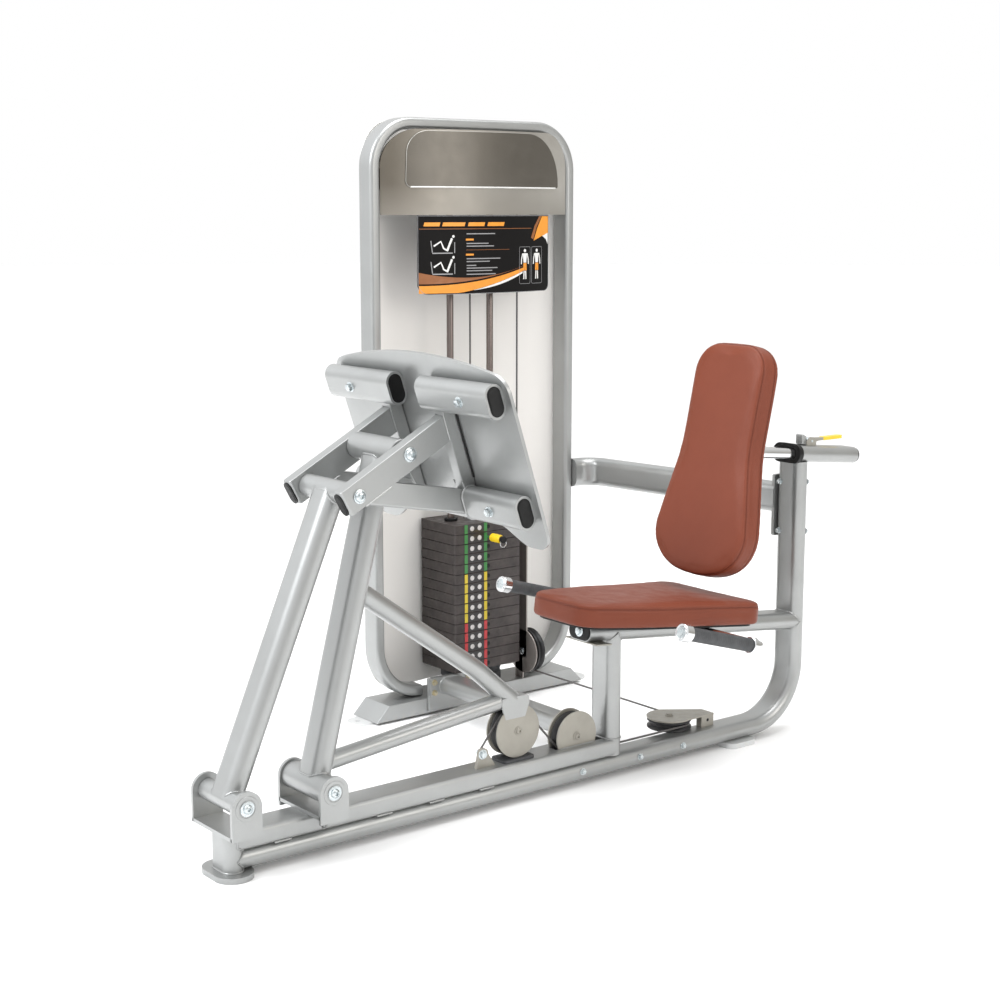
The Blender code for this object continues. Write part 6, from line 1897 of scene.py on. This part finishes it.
def surface_line(mesh, plan, inset, height, step=0.003):
    """The closed line on a pad's side at one height, found by casting in from outside."""
    polygons = [tuple(p.vertices) for p in mesh.polygons]
    tree = BVHTree.FromPolygons([v.co.copy() for v in mesh.vertices], polygons)
    base = [Vector(p) for p in dense_ring(plan(0.0), step)]
    centre = sum(base, Vector((0, 0))) / len(base)
    points = []
    for point in base:
        away = (point - centre).normalized()
        start = point + away * 0.04
        origin = Vector((start.x, start.y, height))
        if inset:
            spot = point - away * inset
            hit = tree.ray_cast(Vector((spot.x, spot.y, 0.3)), Vector((0, 0, -1)), 0.5)[0]
        else:
            hit = tree.ray_cast(origin, Vector((-away.x, -away.y, 0)), 0.2)[0]
        if hit is not None:
            points.append(hit)
    return points


def pucker(mesh, seed, amount=0.0007):
    """Soft uneven fullness and faint pulls, pushed out along the normals over the whole cover."""
    co = np.array([v.co for v in mesh.vertices])
    normal = np.array([v.normal for v in mesh.vertices])
    for index, (x, y, z) in enumerate(co.tolist()):
        wave = noise.noise((x * 9 + seed, y * 9, z * 16))
        fine = noise.noise((x * 38, y * 38 + seed, z * 60))
        co[index] += normal[index] * (wave + fine * 0.28) * amount
    mesh.vertices.foreach_set("co", co.astype(np.float32).ravel())
    mesh.update()


def upholstered(name, blank, place, body, node, plan, seam_heights, inset_seams, pin, cap, seed):
    """A pad with its swell, its unevenness and its seams."""
    mesh = swell(blank, pin, cap)
    pucker(mesh, seed, 0.0005)
    lines = [surface_line(mesh, plan, 0.0, height) for height in seam_heights]
    lines += [surface_line(mesh, plan, inset, 0.0) for inset in inset_seams]
    carve_seams(mesh, lines)
    seams = []
    for line in lines:
        seams.append(wire(line, 0.0005, True, 2))
    stitches = joined(seams)
    stitches.transform(place)
    mesh.transform(place)
    pad = piece(name, mesh, body, "vinyl", [node], angle=80)
    piece(name + "_stitching", stitches, body, "seam")
    return pad


def pads():
    """The seat cushion on its board, and the back cushion."""
    rings = [(0.008, 0.0005), (0.002, 0.002), (0.0, 0.008), (-0.0005, 0.026), (-0.0005, 0.042)]
    rings += [(0.0015, 0.0500), (0.006, 0.0540)]
    blank = pad_blank(seat_plan, rings, 0.0032)
    upholstered("seat_cushion", blank, seat_place(0.0045), "frame", "seat_pad", seat_plan,
                (0.0440,), (), 0.006, 0.0030, 3.0)
    board = prism(seat_plan(0.012), 0.0060, seat_place(0.0033))
    plastic_piece("seat_board_panel", board, "frame", ["seat_board"], 0.0008, 2)
    rings = [(0.010, 0.0008), (0.002, 0.0025), (0.0, 0.010), (-0.0005, 0.034), (-0.0005, 0.050)]
    rings += [(0.0020, 0.0590), (0.007, 0.0625)]
    blank = pad_blank(back_plan, rings, 0.0035)
    upholstered("back_cushion", blank, back_place(-BACK_THICK), "backrest", "back_pad", back_plan,
                (0.0140, 0.0530), (), 0.006, 0.0030, 11.0)


# ---------------------------------------------------------------- stage, light and camera
def stage():
    """A plain pale floor in a white studio."""
    floor_look = Look("studio_floor", (0.97, 0.97, 0.97), 0.85)
    floor_look.tint(floor_look.noise(0.6, 2.0), (0.96, 0.96, 0.96), 0.3, 0.7)
    work = bmesh.new()
    bmesh.ops.create_circle(work, cap_ends=True, segments=96, radius=40.0)
    mesh = mesh_of(work)
    mesh.materials.append(floor_look.material)
    floor = bpy.data.objects.new("studio_floor", mesh)
    floor.location.z = -0.0002
    bpy.context.scene.collection.objects.link(floor)
    world = bpy.data.worlds.new("studio")
    world.use_nodes = True
    sky(world.node_tree)
    bpy.context.scene.world = world
    bpy.context.scene.view_settings.view_transform = "Standard"


def sky(tree):
    """A white studio: bright overhead and to the left, and darker toward the viewer's side."""
    shade = tree.nodes["Background"]
    way = tree.nodes.new("ShaderNodeTexCoord").outputs["Generated"]
    dot = tree.nodes.new("ShaderNodeVectorMath")
    dot.operation = "DOT_PRODUCT"
    tree.links.new(way, dot.inputs[0])
    dot.inputs[1].default_value = Vector((-0.62, 0.30, 0.72)).normalized()
    ramp = tree.nodes.new("ShaderNodeValToRGB")
    spread = tree.nodes.new("ShaderNodeMapRange")
    spread.inputs["From Min"].default_value = -0.75
    spread.inputs["From Max"].default_value = 0.95
    tree.links.new(dot.outputs["Value"], spread.inputs["Value"])
    tree.links.new(spread.outputs["Result"], ramp.inputs["Fac"])
    low, high = ramp.color_ramp.elements
    low.position, high.position = 0.0, 1.0
    low.color = (0.385, 0.362, 0.315, 1.0)
    high.color = (1.36, 1.37, 1.39, 1.0)
    seen = tree.nodes.new("ShaderNodeLightPath").outputs["Is Camera Ray"]
    mix = tree.nodes.new("ShaderNodeMix")
    mix.data_type = "RGBA"
    tree.links.new(seen, mix.inputs["Factor"])
    tree.links.new(ramp.outputs["Color"], mix.inputs["A"])
    mix.inputs["B"].default_value = (1.0, 1.0, 1.0, 1.0)
    tree.links.new(mix.outputs["Result"], shade.inputs["Color"])
    shade.inputs["Strength"].default_value = 1.0


def area_light(name, at, target, size, power, colour=(1, 1, 1)):
    data = bpy.data.lights.new(name, "AREA")
    data.shape = "RECTANGLE"
    data.size, data.size_y = size
    data.energy = power
    data.color = colour
    lamp = bpy.data.objects.new(name, data)
    bpy.context.scene.collection.objects.link(lamp)
    lamp.location = Vector(at)
    lamp.rotation_euler = (Vector(target) - Vector(at)).to_track_quat("-Z", "Y").to_euler()


def lights():
    """A large key light, a top light and a soft fill."""
    centre = (0.0, 0.0, 0.7)
    area_light("key", (-3.4, 0.6, 3.4), centre, (2.4, 2.4), 120, (0.96, 0.98, 1.0))
    area_light("top", (0.4, -0.4, 4.4), (0, 0, 0), (3.0, 3.0), 110)
    area_light("fill", (1.6, -4.2, 2.2), centre, (2.4, 2.0), 45, (1.0, 0.97, 0.93))


def camera():
    """The camera at the photo's angle."""
    data = bpy.data.cameras.new("view")
    data.lens = 62.8
    data.sensor_width = 36.0
    data.clip_end = 200.0
    obj = bpy.data.objects.new("view", data)
    bpy.context.scene.collection.objects.link(obj)
    obj.location = (-2.59244, -3.27400, 1.35)
    obj.rotation_euler = (math.radians(80.5324), 0.0, math.radians(-38.202))
    bpy.context.scene.camera = obj


def more_looks():
    """Finishes for the plate tread, the rims, the guide rods and the label dots."""
    tread = Look("tread_coat", (0.17, 0.175, 0.18), 0.62)
    tread.tint(tread.noise(20.0, 4.0), (0.14, 0.145, 0.15), 0.35, 0.7)
    tread.shine(tread.noise(90.0, 4.0), 0.55, 0.72)
    tread.bump(tread.cells(240.0, "F1"), 0.6, 0.0010)
    LOOKS["tread"] = tread.material
    LOOKS["white_paint"] = paint("pale_paint", (0.66, 0.67, 0.67), (0.60, 0.61, 0.61), 0.35)
    LOOKS["rim"] = paint("rim_paint", (0.44, 0.43, 0.40), (0.38, 0.37, 0.34), 0.8)
    LOOKS["lip"] = paint("lip_paint", (0.74, 0.74, 0.72), (0.68, 0.68, 0.66), 0.2)
    rod_look = Look("rod_steel", (0.215, 0.178, 0.165), 0.30, 0.75)
    rod_look.tint(rod_look.noise(2.5, 2.0, 0.5, (1, 1, 0.3)), (0.190, 0.158, 0.146), 0.35, 0.7)
    rod_look.shine(rod_look.noise(4.0, 2.0, 0.5, (1, 1, 0.2)), 0.24, 0.30)
    LOOKS["rod"] = rod_look.material
    dots = Look("label_dots", (0.60, 0.58, 0.57), 0.4)
    dots.tint(dots.noise(120.0, 2.0), (0.52, 0.50, 0.49), 0.4, 0.7)
    LOOKS["dots"] = dots.material


def build():
    """Makes every piece, then the stage."""
    more_looks()
    rail = base_rail()
    post = front_post()
    upper_beam(post)
    seat_supports(rail)
    cross_tube()
    side_arch()
    clevises()
    rail_hardware()
    handles()
    backrest_carrier()
    adjuster()
    front_arm()
    rear_arm()
    lever_bracket()
    carriage_side(-1, "right")
    carriage_side(1, "left")
    carriage_bolts()
    cross_tubes()
    foot_plate()
    plate_gap_shadows()
    tower_frame()
    header()
    placard()
    placard_brackets()
    rear_panel()
    guide_rods()
    weight_stack()
    selector_pin()
    pulleys()
    rail_bracket()
    floor_bracket()
    base_bracket()
    top_beam()
    small_fittings()
    cables()
    pads()
    for obj in MADE:
        bpy.context.scene.collection.objects.link(obj)
    for obj, first, second, start, end in BLENDS:
        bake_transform(obj)
    for obj, joint, axis, anchor, keep in SQUASHES:
        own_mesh(obj)
    stage()
    lights()
    camera()


build()
